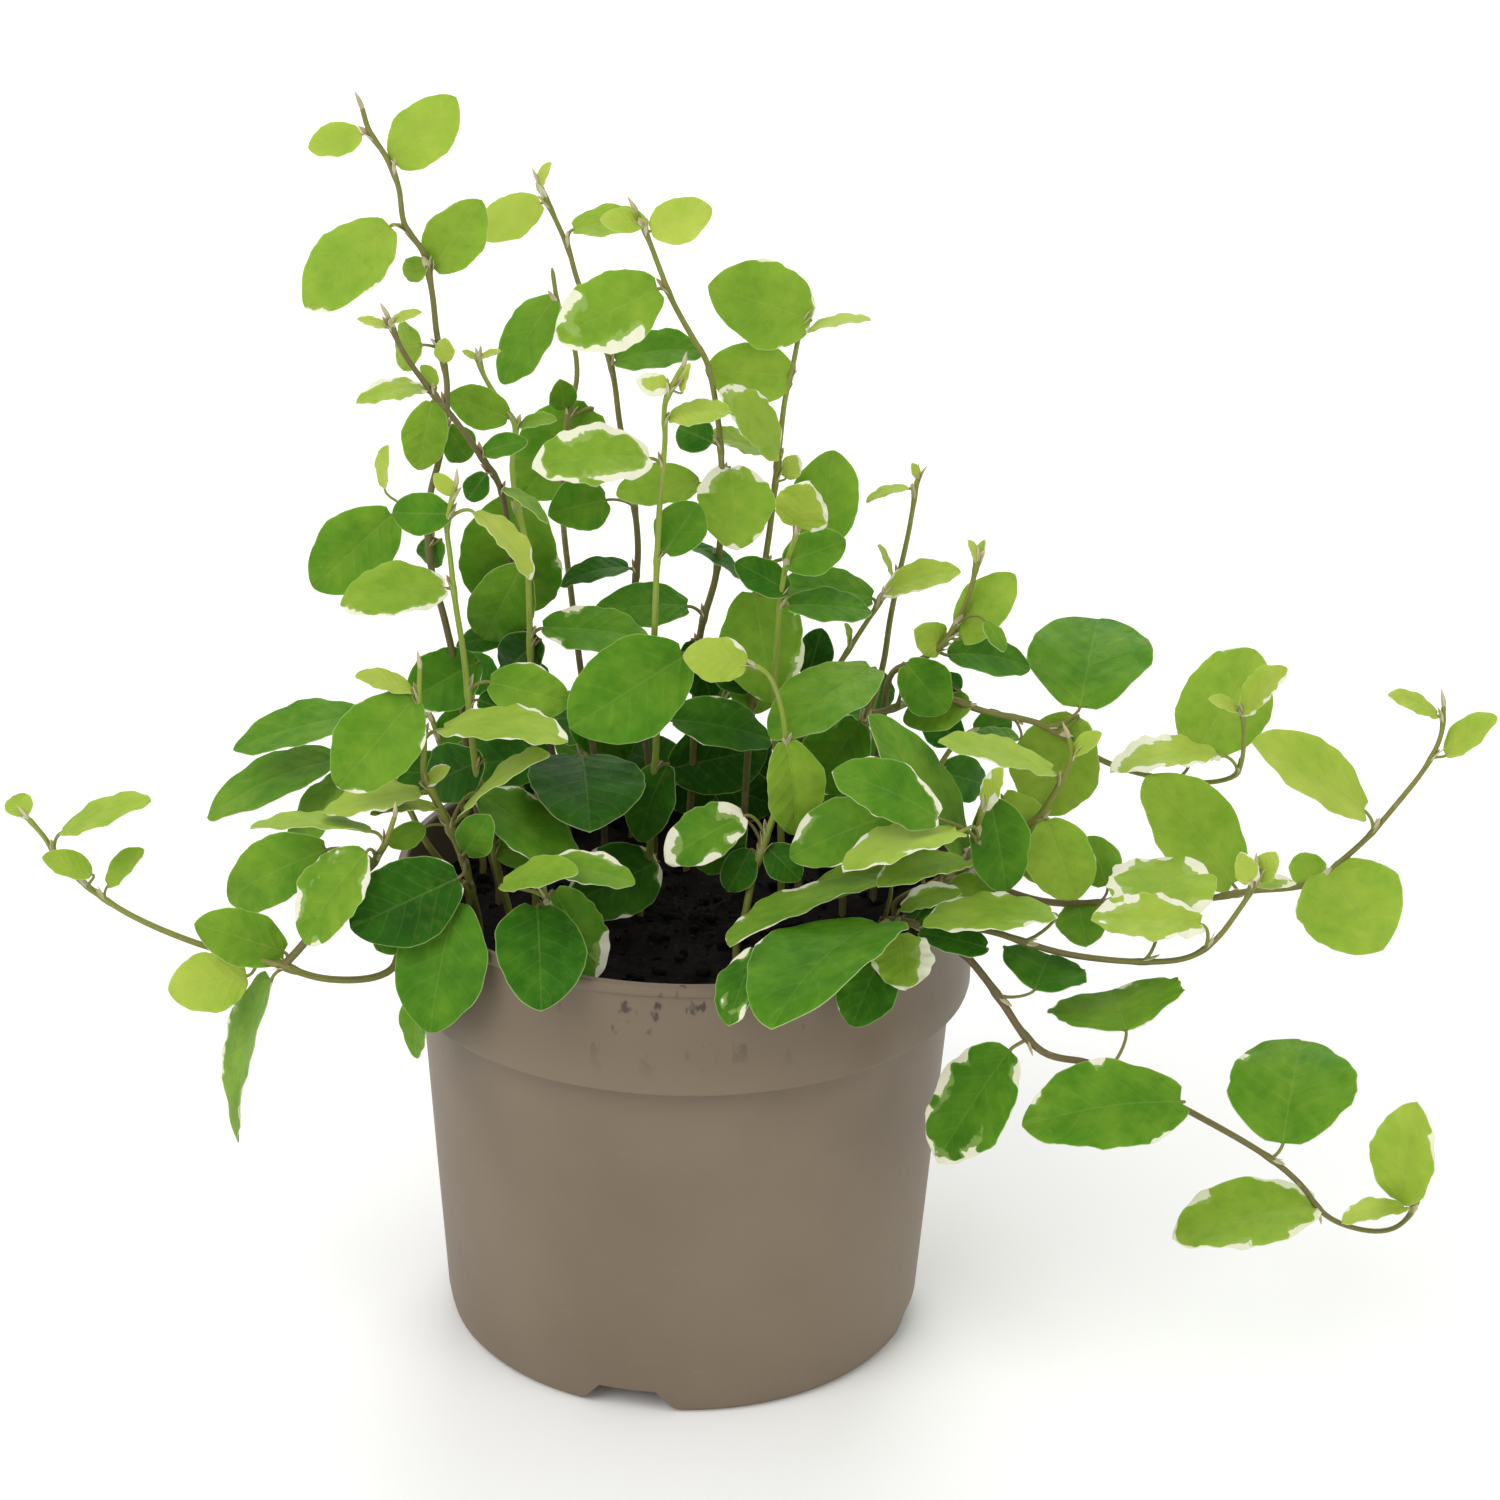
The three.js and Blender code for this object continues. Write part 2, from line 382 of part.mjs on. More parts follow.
    leaves: [
      [588, 740, 630, 735, 30, -0.5, 1, 0.85, 0], [570, 724, 520, 740, 34, -0.5, 1, 0.8, 0.1],
      [556, 742, 610, 775, 40, -0.4, 1, 0.75, 0.1], [540, 785, 480, 800, 40, -0.3, 1, 0.65, 0.2],
      [530, 820, 575, 865, 44, -0.2, 1, 0.55, 0.3], [520, 834, 500, 880, 36, -0.1, 1, 0.35, 0.4]],
  },
  {
    name: 'trailing_back_right', root: [22, 47],
    route: [[800, 760, 54], [819, 717, 62], [848, 726, 71], [886, 764, 78], [923, 812, 80]],
    leaves: [
      [806, 738, 770, 725, 30, -0.5, 1, 0.9, 0], [826, 722, 880, 715, 30, -0.4, 1, 0.8, 0],
      [850, 736, 820, 790, 42, -0.3, 1, 0.75, 0.1], [880, 766, 935, 765, 34, -0.3, 1, 0.65, 0.1],
      [900, 790, 870, 850, 44, -0.2, 1, 0.55, 0.3], [926, 816, 940, 855, 34, -0.1, 1, 0.35, 0.4]],
  },
];

// The viewer's own directions.
const yaw = THREE.MathUtils.degToRad(viewYaw);
const pitch = THREE.MathUtils.degToRad(viewPitch);
const roll = THREE.MathUtils.degToRad(viewRoll);
const ahead = new THREE.Vector3(
  Math.sin(yaw) * Math.cos(pitch), Math.cos(yaw) * Math.cos(pitch), -Math.sin(pitch));
const level = new THREE.Vector3().crossVectors(ahead, new THREE.Vector3(0, 0, 1)).normalize();
const upright = new THREE.Vector3().crossVectors(level, ahead);
const viewRight = level.clone().multiplyScalar(Math.cos(roll)).addScaledVector(upright, Math.sin(roll));
const viewUp = upright.clone().multiplyScalar(Math.cos(roll)).addScaledVector(level, -Math.sin(roll));

function spot(across, down, depth) {
  const ray = ahead.clone().multiplyScalar(viewReach);
  ray.addScaledVector(viewRight, across - viewMiddle);
  ray.addScaledVector(viewUp, viewMiddle - down);
  return viewEye.clone().addScaledVector(ray, (depth - viewEye.y) / ray.y);
}

function seen(point) {
  const away = point.clone().sub(viewEye);
  const reach = away.dot(ahead);
  return [
    viewMiddle + viewReach * away.dot(viewRight) / reach,
    viewMiddle - viewReach * away.dot(viewUp) / reach,
  ];
}

// Whole-number steps, so that every draw is the same on any machine.
let drawState = 20241;
function draw() {
  drawState = (drawState * 1664525 + 1013904223) % 4294967296;
  return drawState / 4294967296;
}

// A run of straight lengths, taken by its own points.
class Route extends THREE.Curve {
  constructor(points) {
    super();
    this.points = points;
  }

  getPoint(t) {
    const last = this.points.length - 1;
    const at = THREE.MathUtils.clamp(t, 0, 1) * last;
    const index = Math.min(Math.floor(at), last - 1);
    return this.points[index].clone().lerp(this.points[index + 1], at - index);
  }

  getUtoTmapping(u) {
    return u;
  }
}

// Lifts whatever would cut the pot's rim to pass just over it.
function overRim(point) {
  const radius = Math.hypot(point.x, point.y);
  const inner = rimRadius - wall - stemRadius - clearGap;
  const outer = lipRadius + stemRadius + clearGap;
  if (radius > inner && radius < outer) {
    point.z = Math.max(point.z, potHeight + stemRadius + clearGap);
  }
  return point;
}

// Keeps only the points where a run bends by more than the tolerance.
function thinned(points, tolerance) {
  const line = new THREE.Line3(points[0], points[points.length - 1]);
  const near = new THREE.Vector3();
  let furthest = 0;
  let split = 0;
  for (let index = 1; index + 1 < points.length; index += 1) {
    line.closestPointToPoint(points[index], true, near);
    const gap = near.distanceTo(points[index]);
    if (gap > furthest) {
      furthest = gap;
      split = index;
    }
  }
  if (furthest <= tolerance) {
    return [points[0], points[points.length - 1]];
  }
  const before = thinned(points.slice(0, split + 1), tolerance);
  return [...before, ...thinned(points.slice(split), tolerance).slice(1)];
}

// A smooth run through the stem's spots, with a vertical root in the soil.
function stemRoute(stem, parent) {
  const start = [];
  if (parent) {
    start.push(nearestOn(parent.rings, spot(...stem.route[0])).point);
  } else {
    const [x, y] = stem.root;
    start.push(new THREE.Vector3(x, y, soilLevel + soilLump + 0.6));
    start.push(new THREE.Vector3(x, y, soilLevel + soilLump + 3));
  }
  const spots = stem.route.slice(parent ? 1 : 0).map((row) => spot(...row));
  const curve = new THREE.CatmullRomCurve3([...start, ...spots], false, 'centripetal');
  const count = Math.ceil(curve.getLength() / sampleStep);
  const run = thinned(curve.getSpacedPoints(count).map(overRim), bendTolerance);
  if (parent) {
    return run;
  }
  return [new THREE.Vector3(start[0].x, start[0].y, soilLevel - holeDepth + seat), ...run];
}

function nearestOn(points, target) {
  let best = { gap: Infinity };
  const line = new THREE.Line3();
  for (let index = 0; index + 1 < points.length; index += 1) {
    line.set(points[index], points[index + 1]);
    const point = line.closestPointToPoint(target, true, new THREE.Vector3());
    const gap = point.distanceTo(target);
    if (gap < best.gap) {
      best = { gap, point, index };
    }
  }
  return best;
}

// The place on a stem that the view shows nearest to a spot.
function nearestSeen(points, across, down) {
  let best = { gap: Infinity };
  for (let index = 1; index + 1 < points.length; index += 1) {
    for (let step = 0; step <= 12; step += 1) {
      const point = points[index].clone().lerp(points[index + 1], step / 12);
      const [u, v] = seen(point);
      const gap = Math.hypot(u - across, v - down);
      if (gap < best.gap) {
        best = { gap, point, index };
      }
    }
  }
  return best;
}

// The place that lies a distance nearer to the root, but still above the soil.
function backAlong(points, from, distance) {
  let { point, index } = from;
  let left = distance;
  while (index > 1 && point.distanceTo(points[index]) < left) {
    left -= point.distanceTo(points[index]);
    point = points[index];
    index -= 1;
  }
  const toward = points[index].clone().sub(point);
  const reach = Math.min(left, toward.length());
  const place = point.clone().addScaledVector(toward.normalize(), reach);
  return place.z > soilLevel + 5 ? place : from.point.clone();
}

// A blade's outline, its half width from 0 at the foot to 0 at the tip and 1 at its widest.
function outline(s) {
  return Math.pow(s, 0.55) * Math.pow(1 - s, 0.65) / 0.437;
}

function rise(leaf, s, across) {
  const half = Math.max(0.2, leaf.halfWidth * outline(THREE.MathUtils.clamp(s, 0.001, 0.999)));
  const t = Math.min(1, Math.abs(across) / half);
  const wave = leaf.wave * t * t * Math.sin(leaf.phase + 17 * s + (across > 0 ? 1.4 : 0));
  return leaf.arch * leaf.length * 4 * s * (1 - s) + leaf.fold * Math.abs(across) + wave;
}

function bladePoint(leaf, s, t, off = 0) {
  const across = t * leaf.halfWidth * outline(s);
  return leaf.foot.clone()
    .addScaledVector(leaf.along, s * leaf.length)
    .addScaledVector(leaf.side, across)
    .addScaledVector(leaf.face, rise(leaf, s, across) + off);
}

// Sets a blade between its foot and its tip, which keep their places in the view.
function setBlade(leaf, footDepth, tipDepth) {
  const [footAcross, footDown, tipAcross, tipDown, , , rollSign] = leaf.row;
  leaf.foot = spot(footAcross, footDown, footDepth);
  leaf.tip = spot(tipAcross, tipDown, tipDepth);
  leaf.along = leaf.tip.clone().sub(leaf.foot);
  leaf.length = leaf.along.length();
  leaf.along.normalize();
  const middle = leaf.foot.clone().lerp(leaf.tip, 0.5);
  const toEye = viewEye.clone().sub(middle).normalize();
  const flat = toEye.clone().addScaledVector(leaf.along, -toEye.dot(leaf.along)).normalize();
  const cross = new THREE.Vector3().crossVectors(leaf.along, flat);
  if (cross.z < 0) {
    cross.negate();
  }
  leaf.face = flat.multiplyScalar(Math.cos(leaf.turn))
    .addScaledVector(cross, rollSign * Math.sin(leaf.turn));
  leaf.side = new THREE.Vector3().crossVectors(leaf.face, leaf.along);
}

function makeLeaf(row, stem) {
  const [footAcross, footDown, tipAcross, tipDown, seenWidth, lean] = row;
  let place = nearestSeen(stem.rings, footAcross, footDown);
  let depth = place.point.y;
  if (row.length > 9) {
    depth = row[9];
    place = nearestOn(stem.rings, spot(footAcross, footDown, depth));
  }
  const foot = spot(footAcross, footDown, depth);
  const flatLength = foot.distanceTo(spot(tipAcross, tipDown, depth));
  const scale = flatLength / Math.hypot(tipAcross - footAcross, tipDown - footDown);
  const wide = seenWidth * scale;
  const leaf = { row, stem };
  let offset = -lean * flatLength;
  if (wide > roundRatio * flatLength) {
    const full = Math.min(wide / roundRatio, 2 * flatLength);
    const away = Math.sqrt(full * full - flatLength * flatLength);
    offset = -Math.sign(lean || 1) * Math.max(away, Math.abs(offset));
    leaf.width = wide;
    leaf.turn = 0.12;
  } else {
    leaf.width = Math.max(wide, narrowRatio * Math.hypot(flatLength, offset));
    leaf.turn = Math.min(1.35, Math.acos(wide / leaf.width));
  }
  leaf.halfWidth = leaf.width / 2;
  leaf.arch = 0.03 + 0.06 * draw();
  leaf.fold = 0.05 + 0.16 * draw();
  leaf.phase = 6.28 * draw();
  leaf.wave = Math.min(0.6, 0.05 * leaf.width);
  leaf.depths = [depth, depth + offset];
  setBlade(leaf, ...leaf.depths);
  const stalk = Math.max(1.6, foot.distanceTo(place.point));
  leaf.joint = backAlong(stem.rings, place, 0.55 * stalk + 0.4);
  return leaf;
}

function probes(leaf) {
  const long = Math.ceil(leaf.length / 2.2) + 1;
  const half = Math.max(1, Math.ceil(leaf.halfWidth / 2.4));
  const points = [];
  for (let i = 1; i <= long; i += 1) {
    const s = 0.03 + 0.95 * i / long;
    for (let j = -half; j <= half; j += 1) {
      points.push(bladePoint(leaf, s, j / half));
    }
  }
  return points;
}

function stalkProbes(leaf) {
  const length = leaf.joint.distanceTo(leaf.foot);
  const points = [];
  for (let reach = 2.2; reach < length; reach += probeStep) {
    points.push(leaf.joint.clone().lerp(leaf.foot, reach / length));
  }
  return points;
}

// Whether a point comes nearer than a clearance to a blade's middle surface.
function touches(leaf, point, clearance) {
  const off = point.clone().sub(leaf.foot);
  const s = off.dot(leaf.along) / leaf.length;
  if (s < -0.03 || s > 1.03) {
    return false;
  }
  const across = off.dot(leaf.side);
  const half = leaf.halfWidth * outline(THREE.MathUtils.clamp(s, 0.001, 0.999));
  if (Math.abs(across) > half + clearance) {
    return false;
  }
  return Math.abs(off.dot(leaf.face) - rise(leaf, s, across)) < clearance;
}

function insidePot(point, clearance) {
  const radius = Math.hypot(point.x, point.y);
  if (radius > lipRadius + clearance || point.z > potHeight + clearance) {
    return false;
  }
  const inner = rimRadius - wall - clearance;
  return radius > inner || point.z < soilLevel + soilLump + clearance;
}

const stemPoints = [];
function noteStem(stem) {
  for (let index = 0; index + 1 < stem.rings.length; index += 1) {
    const a = stem.rings[index];
    const b = stem.rings[index + 1];
    const count = Math.ceil(a.distanceTo(b) / probeStep);
    for (let step = 0; step < count; step += 1) {
      stemPoints.push({ stem, point: a.clone().lerp(b, step / count) });
    }
  }
}

// How often a leaf comes too near to the pot, a stem or a leaf that is already set.
function faults(leaf, placed) {
  const blade = probes(leaf);
  const stalk = stalkProbes(leaf);
  const bladeGap = bladeThickness + clearGap;
  const stalkGap = 0.5 * bladeThickness + stalkRadius + clearGap;
  const stemGap = 0.5 * bladeThickness + stemRadius + clearGap;
  let count = 0;
  for (const point of [...blade, ...stalk]) {
    if (insidePot(point, 0.9)) {
      count += 1;
    }
  }
  const middle = leaf.foot.clone().lerp(leaf.tip, 0.5);
  for (const { stem, point } of stemPoints) {
    if (point.distanceTo(middle) > leaf.length) {
      continue;
    }
    const own = stem === leaf.stem;
    if (own && point.distanceTo(leaf.joint) < 4 + leaf.joint.distanceTo(leaf.foot)) {
      continue;
    }
    if (touches(leaf, point, stemGap)) {
      count += 1;
    }
    for (const step of stalk) {
      if (step.distanceTo(point) < stemRadius + stalkRadius + clearGap) {
        count += 1;
      }
    }
  }
  for (const other of placed) {
    if (other.middle.distanceTo(middle) > 0.62 * (leaf.length + other.length) + 4) {
      continue;
    }
    for (const point of blade) {
      if (touches(other, point, bladeGap)) {
        count += 1;
      }
    }
    for (const point of other.probes) {
      if (touches(leaf, point, bladeGap)) {
        count += 1;
      }
    }
    for (const point of stalk) {
      if (touches(other, point, stalkGap)) {
        count += 1;
      }
    }
    for (const point of other.stalk) {
      if (touches(leaf, point, stalkGap)) {
        count += 1;
      }
    }
  }
  return count;
}

// Depth changes tried in turn, for the foot and for the tip.
const shifts = [[0, 0]];
for (const size of [2, 4, 6, 8, 10, 13]) {
  shifts.push([0, -size], [0, size], [-size, -size], [size, size]);
  shifts.push([-size, -2 * size], [size, 2 * size], [-size, 0], [size, 0]);
}

// A leaf keeps its place in the view and moves in depth until it is clear.
function settle(leaf, placed) {
  let best = null;
  for (const [footShift, tipShift] of shifts) {
    setBlade(leaf, leaf.depths[0] + footShift, leaf.depths[1] + tipShift);
    const count = faults(leaf, placed);
    if (best === null || count < best.count) {
      best = { count, footShift, tipShift };
    }
    if (count === 0) {
      break;
    }
  }
  setBlade(leaf, leaf.depths[0] + best.footShift, leaf.depths[1] + best.tipShift);
  leaf.faults = best.count;
  leaf.middle = leaf.foot.clone().lerp(leaf.tip, 0.5);
  leaf.probes = probes(leaf);
  leaf.stalk = stalkProbes(leaf);
  placed.push(leaf);
}

const byName = new Map();
for (const stem of stems) {
  stem.rings = stemRoute(stem, byName.get(stem.parent));
  byName.set(stem.name, stem);
  noteStem(stem);
}
export const placed = [];
for (const stem of stems) {
  stem.blades = stem.leaves.map((row) => makeLeaf(row, stem));
}
for (const stem of stems) {
  stem.blades.forEach((leaf) => settle(leaf, placed));
}

// Solids
function solid(geometry) {
  const bare = geometry.clone();
  for (const name of ['normal', 'uv']) {
    bare.deleteAttribute(name);
  }
  const merged = mergeVertices(bare, 1e-4);
  return new wasm.Manifold(new wasm.Mesh({
    numProp: 3,
    vertProperties: new Float32Array(merged.attributes.position.array),
    triVerts: new Uint32Array(merged.index.array),
  }));
}

function geometryOf(body) {
  const mesh = body.getMesh();
  const geometry = new THREE.BufferGeometry();
  geometry.setAttribute('position', new THREE.BufferAttribute(mesh.vertProperties, 3));
  geometry.setIndex(new THREE.BufferAttribute(mesh.triVerts, 1));
  geometry.computeVertexNormals();
  return geometry;
}

function stemSolid(rings) {
  const section = new THREE.Shape();
  for (let side = 0; side < stemSides; side += 1) {
    const angle = 2 * Math.PI * side / stemSides;
    const x = stemRadius * Math.cos(angle);
    const y = stemRadius * Math.sin(angle);
    if (side === 0) {
      section.moveTo(x, y);
    } else {
      section.lineTo(x, y);
    }
  }
  const tube = new THREE.ExtrudeGeometry(section, {
    steps: rings.length - 1, extrudePath: new Route(rings), bevelEnabled: false,
  });
  const end = rings[rings.length - 1];
  const at = new THREE.Vector3();
  const places = tube.attributes.position;
  for (let index = 0; index < places.count; index += 1) {
    at.fromBufferAttribute(places, index);
    if (at.distanceTo(end) < 1.3 * stemRadius) {
      at.lerp(end, 0.55);
      places.setXYZ(index, at.x, at.y, at.z);
    }
  }
  return solid(tube);
}

// A leaf's stalk has three sides and is slimmer at its root, which stays inside the stem.
// Its blade is a thin plate with a rib down the middle.
function leafSolid(leaf) {
  const vertices = [];
  const faces = [];
  const put = (point) => vertices.push(point.x, point.y, point.z) / 3 - 1;
  const ring = (centre, direction, radius) => {
    const x = leaf.side.clone().addScaledVector(direction, -leaf.side.dot(direction)).normalize();
    const y = new THREE.Vector3().crossVectors(direction, x);
    return [20, 160, 270].map((degrees) => {
      const angle = THREE.MathUtils.degToRad(degrees);
      return put(centre.clone()
        .addScaledVector(x, radius * Math.cos(angle))
        .addScaledVector(y, radius * Math.sin(angle)));
    });
  };
  const toFoot = leaf.foot.clone().sub(leaf.joint).normalize();
  const high = ring(leaf.foot, toFoot.clone().add(leaf.along).normalize(), stalkRadius);
  if (leaf.length < tinyLeaf) {
    const root = put(leaf.joint.clone().addScaledVector(toFoot, -0.6));
    faces.push([root, high[1], high[0]], [root, high[2], high[1]], [root, high[0], high[2]]);
  } else {
    const low = ring(leaf.joint, toFoot, stalkRoot);
    faces.push([low[2], low[1], low[0]]);
    for (let k = 0; k < 3; k += 1) {
      const next = (k + 1) % 3;
      faces.push([low[k], low[next], high[next]], [low[k], high[next], high[k]]);
    }
  }
  let stations = [0.14, 0.48, 0.83];
  if (leaf.length > largeLeaf) {
    stations = [0.1, 0.34, 0.62, 0.87];
  } else if (leaf.length < tinyLeaf) {
    stations = [0.2, 0.7];
  }
  const half = bladeThickness / 2;
  const plain = leaf.length < plainLeaf;
  const places = plain ? [1, -1] : [1, 0, -1];
  const rows = stations.map((s) => [
    ...places.map((t) => put(bladePoint(leaf, s, t, half))),
    ...places.toReversed().map((t) => put(bladePoint(leaf, s, t, -half))),
  ]);
  const [right, left, under] = high;
  if (plain) {
    const [rightTop, leftTop, leftLow, rightLow] = rows[0];
    faces.push([right, left, leftTop], [right, leftTop, rightTop], [left, leftLow, leftTop]);
    faces.push([left, under, leftLow], [under, rightLow, leftLow]);
    faces.push([under, right, rightLow], [right, rightTop, rightLow]);
  } else {
    const [rightTop, ribTop, leftTop, leftLow, ribLow, rightLow] = rows[0];
    faces.push([right, ribTop, rightTop], [right, left, ribTop], [left, leftTop, ribTop]);
    faces.push([left, leftLow, leftTop], [left, under, leftLow], [under, ribLow, leftLow]);
    faces.push([under, rightLow, ribLow], [under, right, rightLow], [right, rightTop, rightLow]);
  }
  const around = rows[0].length;
  for (let i = 0; i + 1 < rows.length; i += 1) {
    for (let k = 0; k < around; k += 1) {
      const next = (k + 1) % around;
      const [a, b, c, d] = [rows[i][k], rows[i][next], rows[i + 1][next], rows[i + 1][k]];
      if (k === 0 || k === around / 2) {
        faces.push([a, b, d], [b, c, d]);
      } else {
        faces.push([a, b, c], [a, c, d]);
      }
    }
  }
  const tip = put(bladePoint(leaf, 0.999, 0));
  const last = rows[rows.length - 1];
  for (let k = 0; k < around; k += 1) {
    faces.push([last[k], last[(k + 1) % around], tip]);
  }
  const geometry = new THREE.BufferGeometry();
  geometry.setAttribute('position', new THREE.Float32BufferAttribute(vertices, 3));
  geometry.setIndex(faces.flat());
  return solid(geometry);
}

function cylinderAt(radius, height, sides, x, y, z) {
  const shape = new THREE.CylinderGeometry(radius, radius, height, sides);
  shape.rotateX(Math.PI / 2);
  shape.translate(x, y, z);
  return solid(shape);
}

function lathe(profile, sides) {
  const shape = new THREE.LatheGeometry(profile.map(([r, z]) => new THREE.Vector2(r, z)), sides);
  shape.rotateX(Math.PI / 2);
  return solid(shape);
}

// The floor's raised channels run out from its middle, where it stands flat, to notches in the foot.
function channelBars(grow) {
  let bars = null;
  for (let index = 0; index < channelCount; index += 1) {
    const low = channelWidthLow / 2 + grow;
    const high = channelWidthHigh / 2 + grow;
    const trapezoid = new THREE.Shape();
    trapezoid.moveTo(-low - 1, -1);
    trapezoid.lineTo(low + 1, -1);
    trapezoid.lineTo(high, channelHeight + grow);
    trapezoid.lineTo(-high, channelHeight + grow);
    const bar = new THREE.ExtrudeGeometry(trapezoid, { depth: baseRadius + grow, bevelEnabled: false });
    bar.rotateX(Math.PI / 2);
    bar.translate(0, grow - channelStart, 0);
    bar.rotateZ(THREE.MathUtils.degToRad(channelFirstAngle + 360 * index / channelCount));
    bars = bars ? bars.add(solid(bar)) : solid(bar);
  }
  return bars;
}

const bandFoot = potHeight - bandHeight;
const shoulder = rimRadius - bandStep;

// The space inside the pot up to a level, drawn in from the wall by a gap.
function insideProfile(level, gap) {
  const floorEdge = baseRadius - wall - gap;
  const stepEdge = shoulder - wall - gap;
  const bandEdge = rimRadius - wall - gap;
  return [
    [0, floorThickness + gap], [floorEdge - 1.4, floorThickness + gap], [floorEdge, floorThickness + 1.8],
    [stepEdge, bandFoot + gap], [bandEdge, bandFoot + 2 + gap], [bandEdge, level],
  ];
}

function potSolid() {
  const outside = lathe([
    [0, 0], [footRadius, 0], [baseRadius, 2], [baseRadius + 0.6, 6], [shoulder, bandFoot - 0.6],
    [rimRadius + 0.2, bandFoot + 0.5], [rimRadius, potHeight - lipDrop],
    [lipRadius, potHeight - lipDrop + 0.8], [lipRadius - 0.3, potHeight], [0, potHeight],
  ], potSides);
  const ridges = channelBars(wall).intersect(outside);
  const inside = lathe([...insideProfile(potHeight + 1, 0), [0, potHeight + 1]], potSides);
  let pot = outside.subtract(inside.subtract(ridges)).subtract(channelBars(0));
  for (let index = 0; index < channelCount; index += 1) {
    const angle = THREE.MathUtils.degToRad(channelFirstAngle - 90 + 360 * index / channelCount);
    const x = drainCircle * Math.cos(angle);
    const y = drainCircle * Math.sin(angle);
    pot = pot.subtract(cylinderAt(drainRadius, 3 * wall, 8, x, y, channelHeight + wall / 2));
  }
  return pot;
}

function soilSolid() {
  const rings = [38, 0].map((radius) => [radius, soilLevel]);
  const profile = [...insideProfile(soilLevel, seat), ...rings];
  const shape = new THREE.LatheGeometry(profile.map(([r, z]) => new THREE.Vector2(r, z)), potSides);
  shape.rotateX(Math.PI / 2);
  const places = shape.attributes.position;
  for (let index = 0; index < places.count; index += 1) {
    const x = places.getX(index);
    const y = places.getY(index);
    if (places.getZ(index) > soilLevel - 0.01 && Math.hypot(x, y) < rings[0][0] + 1) {
      const lump = Math.sin(0.31 * x + 1.1) * Math.cos(0.27 * y - 0.4) + 0.5 * Math.sin(0.71 * x - 0.52 * y);
      places.setZ(index, soilLevel + soilLump * lump / 1.5);
    }
  }
  let soil = solid(shape).subtract(channelBars(wall + seat));
  const depth = holeDepth + 6;
  for (const stem of stems.filter((item) => item.root)) {
    const [x, y] = stem.root;
    const middle = soilLevel - holeDepth + depth / 2;
    soil = soil.subtract(cylinderAt(stemRadius + holeSpare, depth, holeSides, x, y, middle));
  }
  return soil;
}

// Colours run from lime on young leaves to a deep green on old ones.
const limeLeaf = new THREE.Color(0x9fbf4e);
const deepLeaf = new THREE.Color(0x3f7a2c);

function leafColour(stem) {
  const ages = stem.leaves.map((row) => row[7]);
  const mean = ages.reduce((sum, age) => sum + age, 0) / ages.length;
  return limeLeaf.clone().lerp(deepLeaf, mean);
}

// Leaves that cross can close off a scrap or a pocket, so only the stem's own body is kept.
function mainBody(body) {
  return body.decompose().reduce((best, piece) => (piece.volume() > best.volume() ? piece : best));
}

const group = new THREE.Group();

function addMesh(name, body, colour, roughness) {
  const material = new THREE.MeshStandardMaterial({ color: colour, roughness, metalness: 0 });
  const mesh = new THREE.Mesh(geometryOf(body), material);
  mesh.name = name;
  group.add(mesh);
}

addMesh('pot', potSolid(), 0x86776a, 0.55);
addMesh('soil', soilSolid(), 0x1d1611, 0.95);
for (const stem of stems) {
  stem.body = stemSolid(stem.rings);
  for (const leaf of stem.blades) {
    stem.body = stem.body.add(leafSolid(leaf));
  }
}
for (const stem of stems.filter((item) => item.root)) {
  let body = stem.body;
  for (const shoot of stems.filter((item) => item.parent === stem.name)) {
    body = body.add(shoot.body);
  }
  addMesh(stem.name, mainBody(body), leafColour(stem), 0.45);
}

export default group;
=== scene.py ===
import math
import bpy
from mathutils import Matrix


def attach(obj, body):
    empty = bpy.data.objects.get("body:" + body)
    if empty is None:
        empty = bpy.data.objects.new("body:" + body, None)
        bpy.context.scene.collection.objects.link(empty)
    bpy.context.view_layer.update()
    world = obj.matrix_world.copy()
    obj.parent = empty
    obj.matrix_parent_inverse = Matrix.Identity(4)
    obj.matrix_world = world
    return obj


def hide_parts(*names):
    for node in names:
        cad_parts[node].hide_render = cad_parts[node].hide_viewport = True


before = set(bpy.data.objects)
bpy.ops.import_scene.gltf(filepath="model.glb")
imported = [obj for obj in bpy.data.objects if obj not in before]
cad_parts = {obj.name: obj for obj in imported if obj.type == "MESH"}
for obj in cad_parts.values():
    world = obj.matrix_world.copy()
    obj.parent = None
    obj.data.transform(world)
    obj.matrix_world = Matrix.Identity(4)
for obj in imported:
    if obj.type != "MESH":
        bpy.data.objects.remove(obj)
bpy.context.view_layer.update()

from types import SimpleNamespace

import bpy
import numpy as np
from mathutils import Matrix
from mathutils.kdtree import KDTree
from numpy.linalg import norm

# A creeping fig with cream-edged leaves in a plastic nursery pot. Lengths here are millimetres
# until a mesh is written, and the front is -Y.
metre = 0.001


def report(text):
    print("fig:", text)


# The view that the plant is laid out in, and that the camera takes.
view = {"eye": (-7.2, -700.0, 413.4), "yaw": 1.62, "pitch": 22.13, "roll": 1.13,
        "reach": 3646.7, "middle": 750.0, "side": 1500.0, "sensor": 36.0}

viewEye = np.array(view["eye"])
yaw, pitch, roll = (math.radians(view[name]) for name in ("yaw", "pitch", "roll"))
viewAhead = np.array([math.sin(yaw) * math.cos(pitch), math.cos(yaw) * math.cos(pitch), -math.sin(pitch)])
level = np.cross(viewAhead, (0.0, 0.0, 1.0))
level /= norm(level)
upright = np.cross(level, viewAhead)
viewRight = level * math.cos(roll) + upright * math.sin(roll)
viewUp = upright * math.cos(roll) - level * math.sin(roll)


def unit(vector):
    return vector / max(norm(vector), 1e-9)


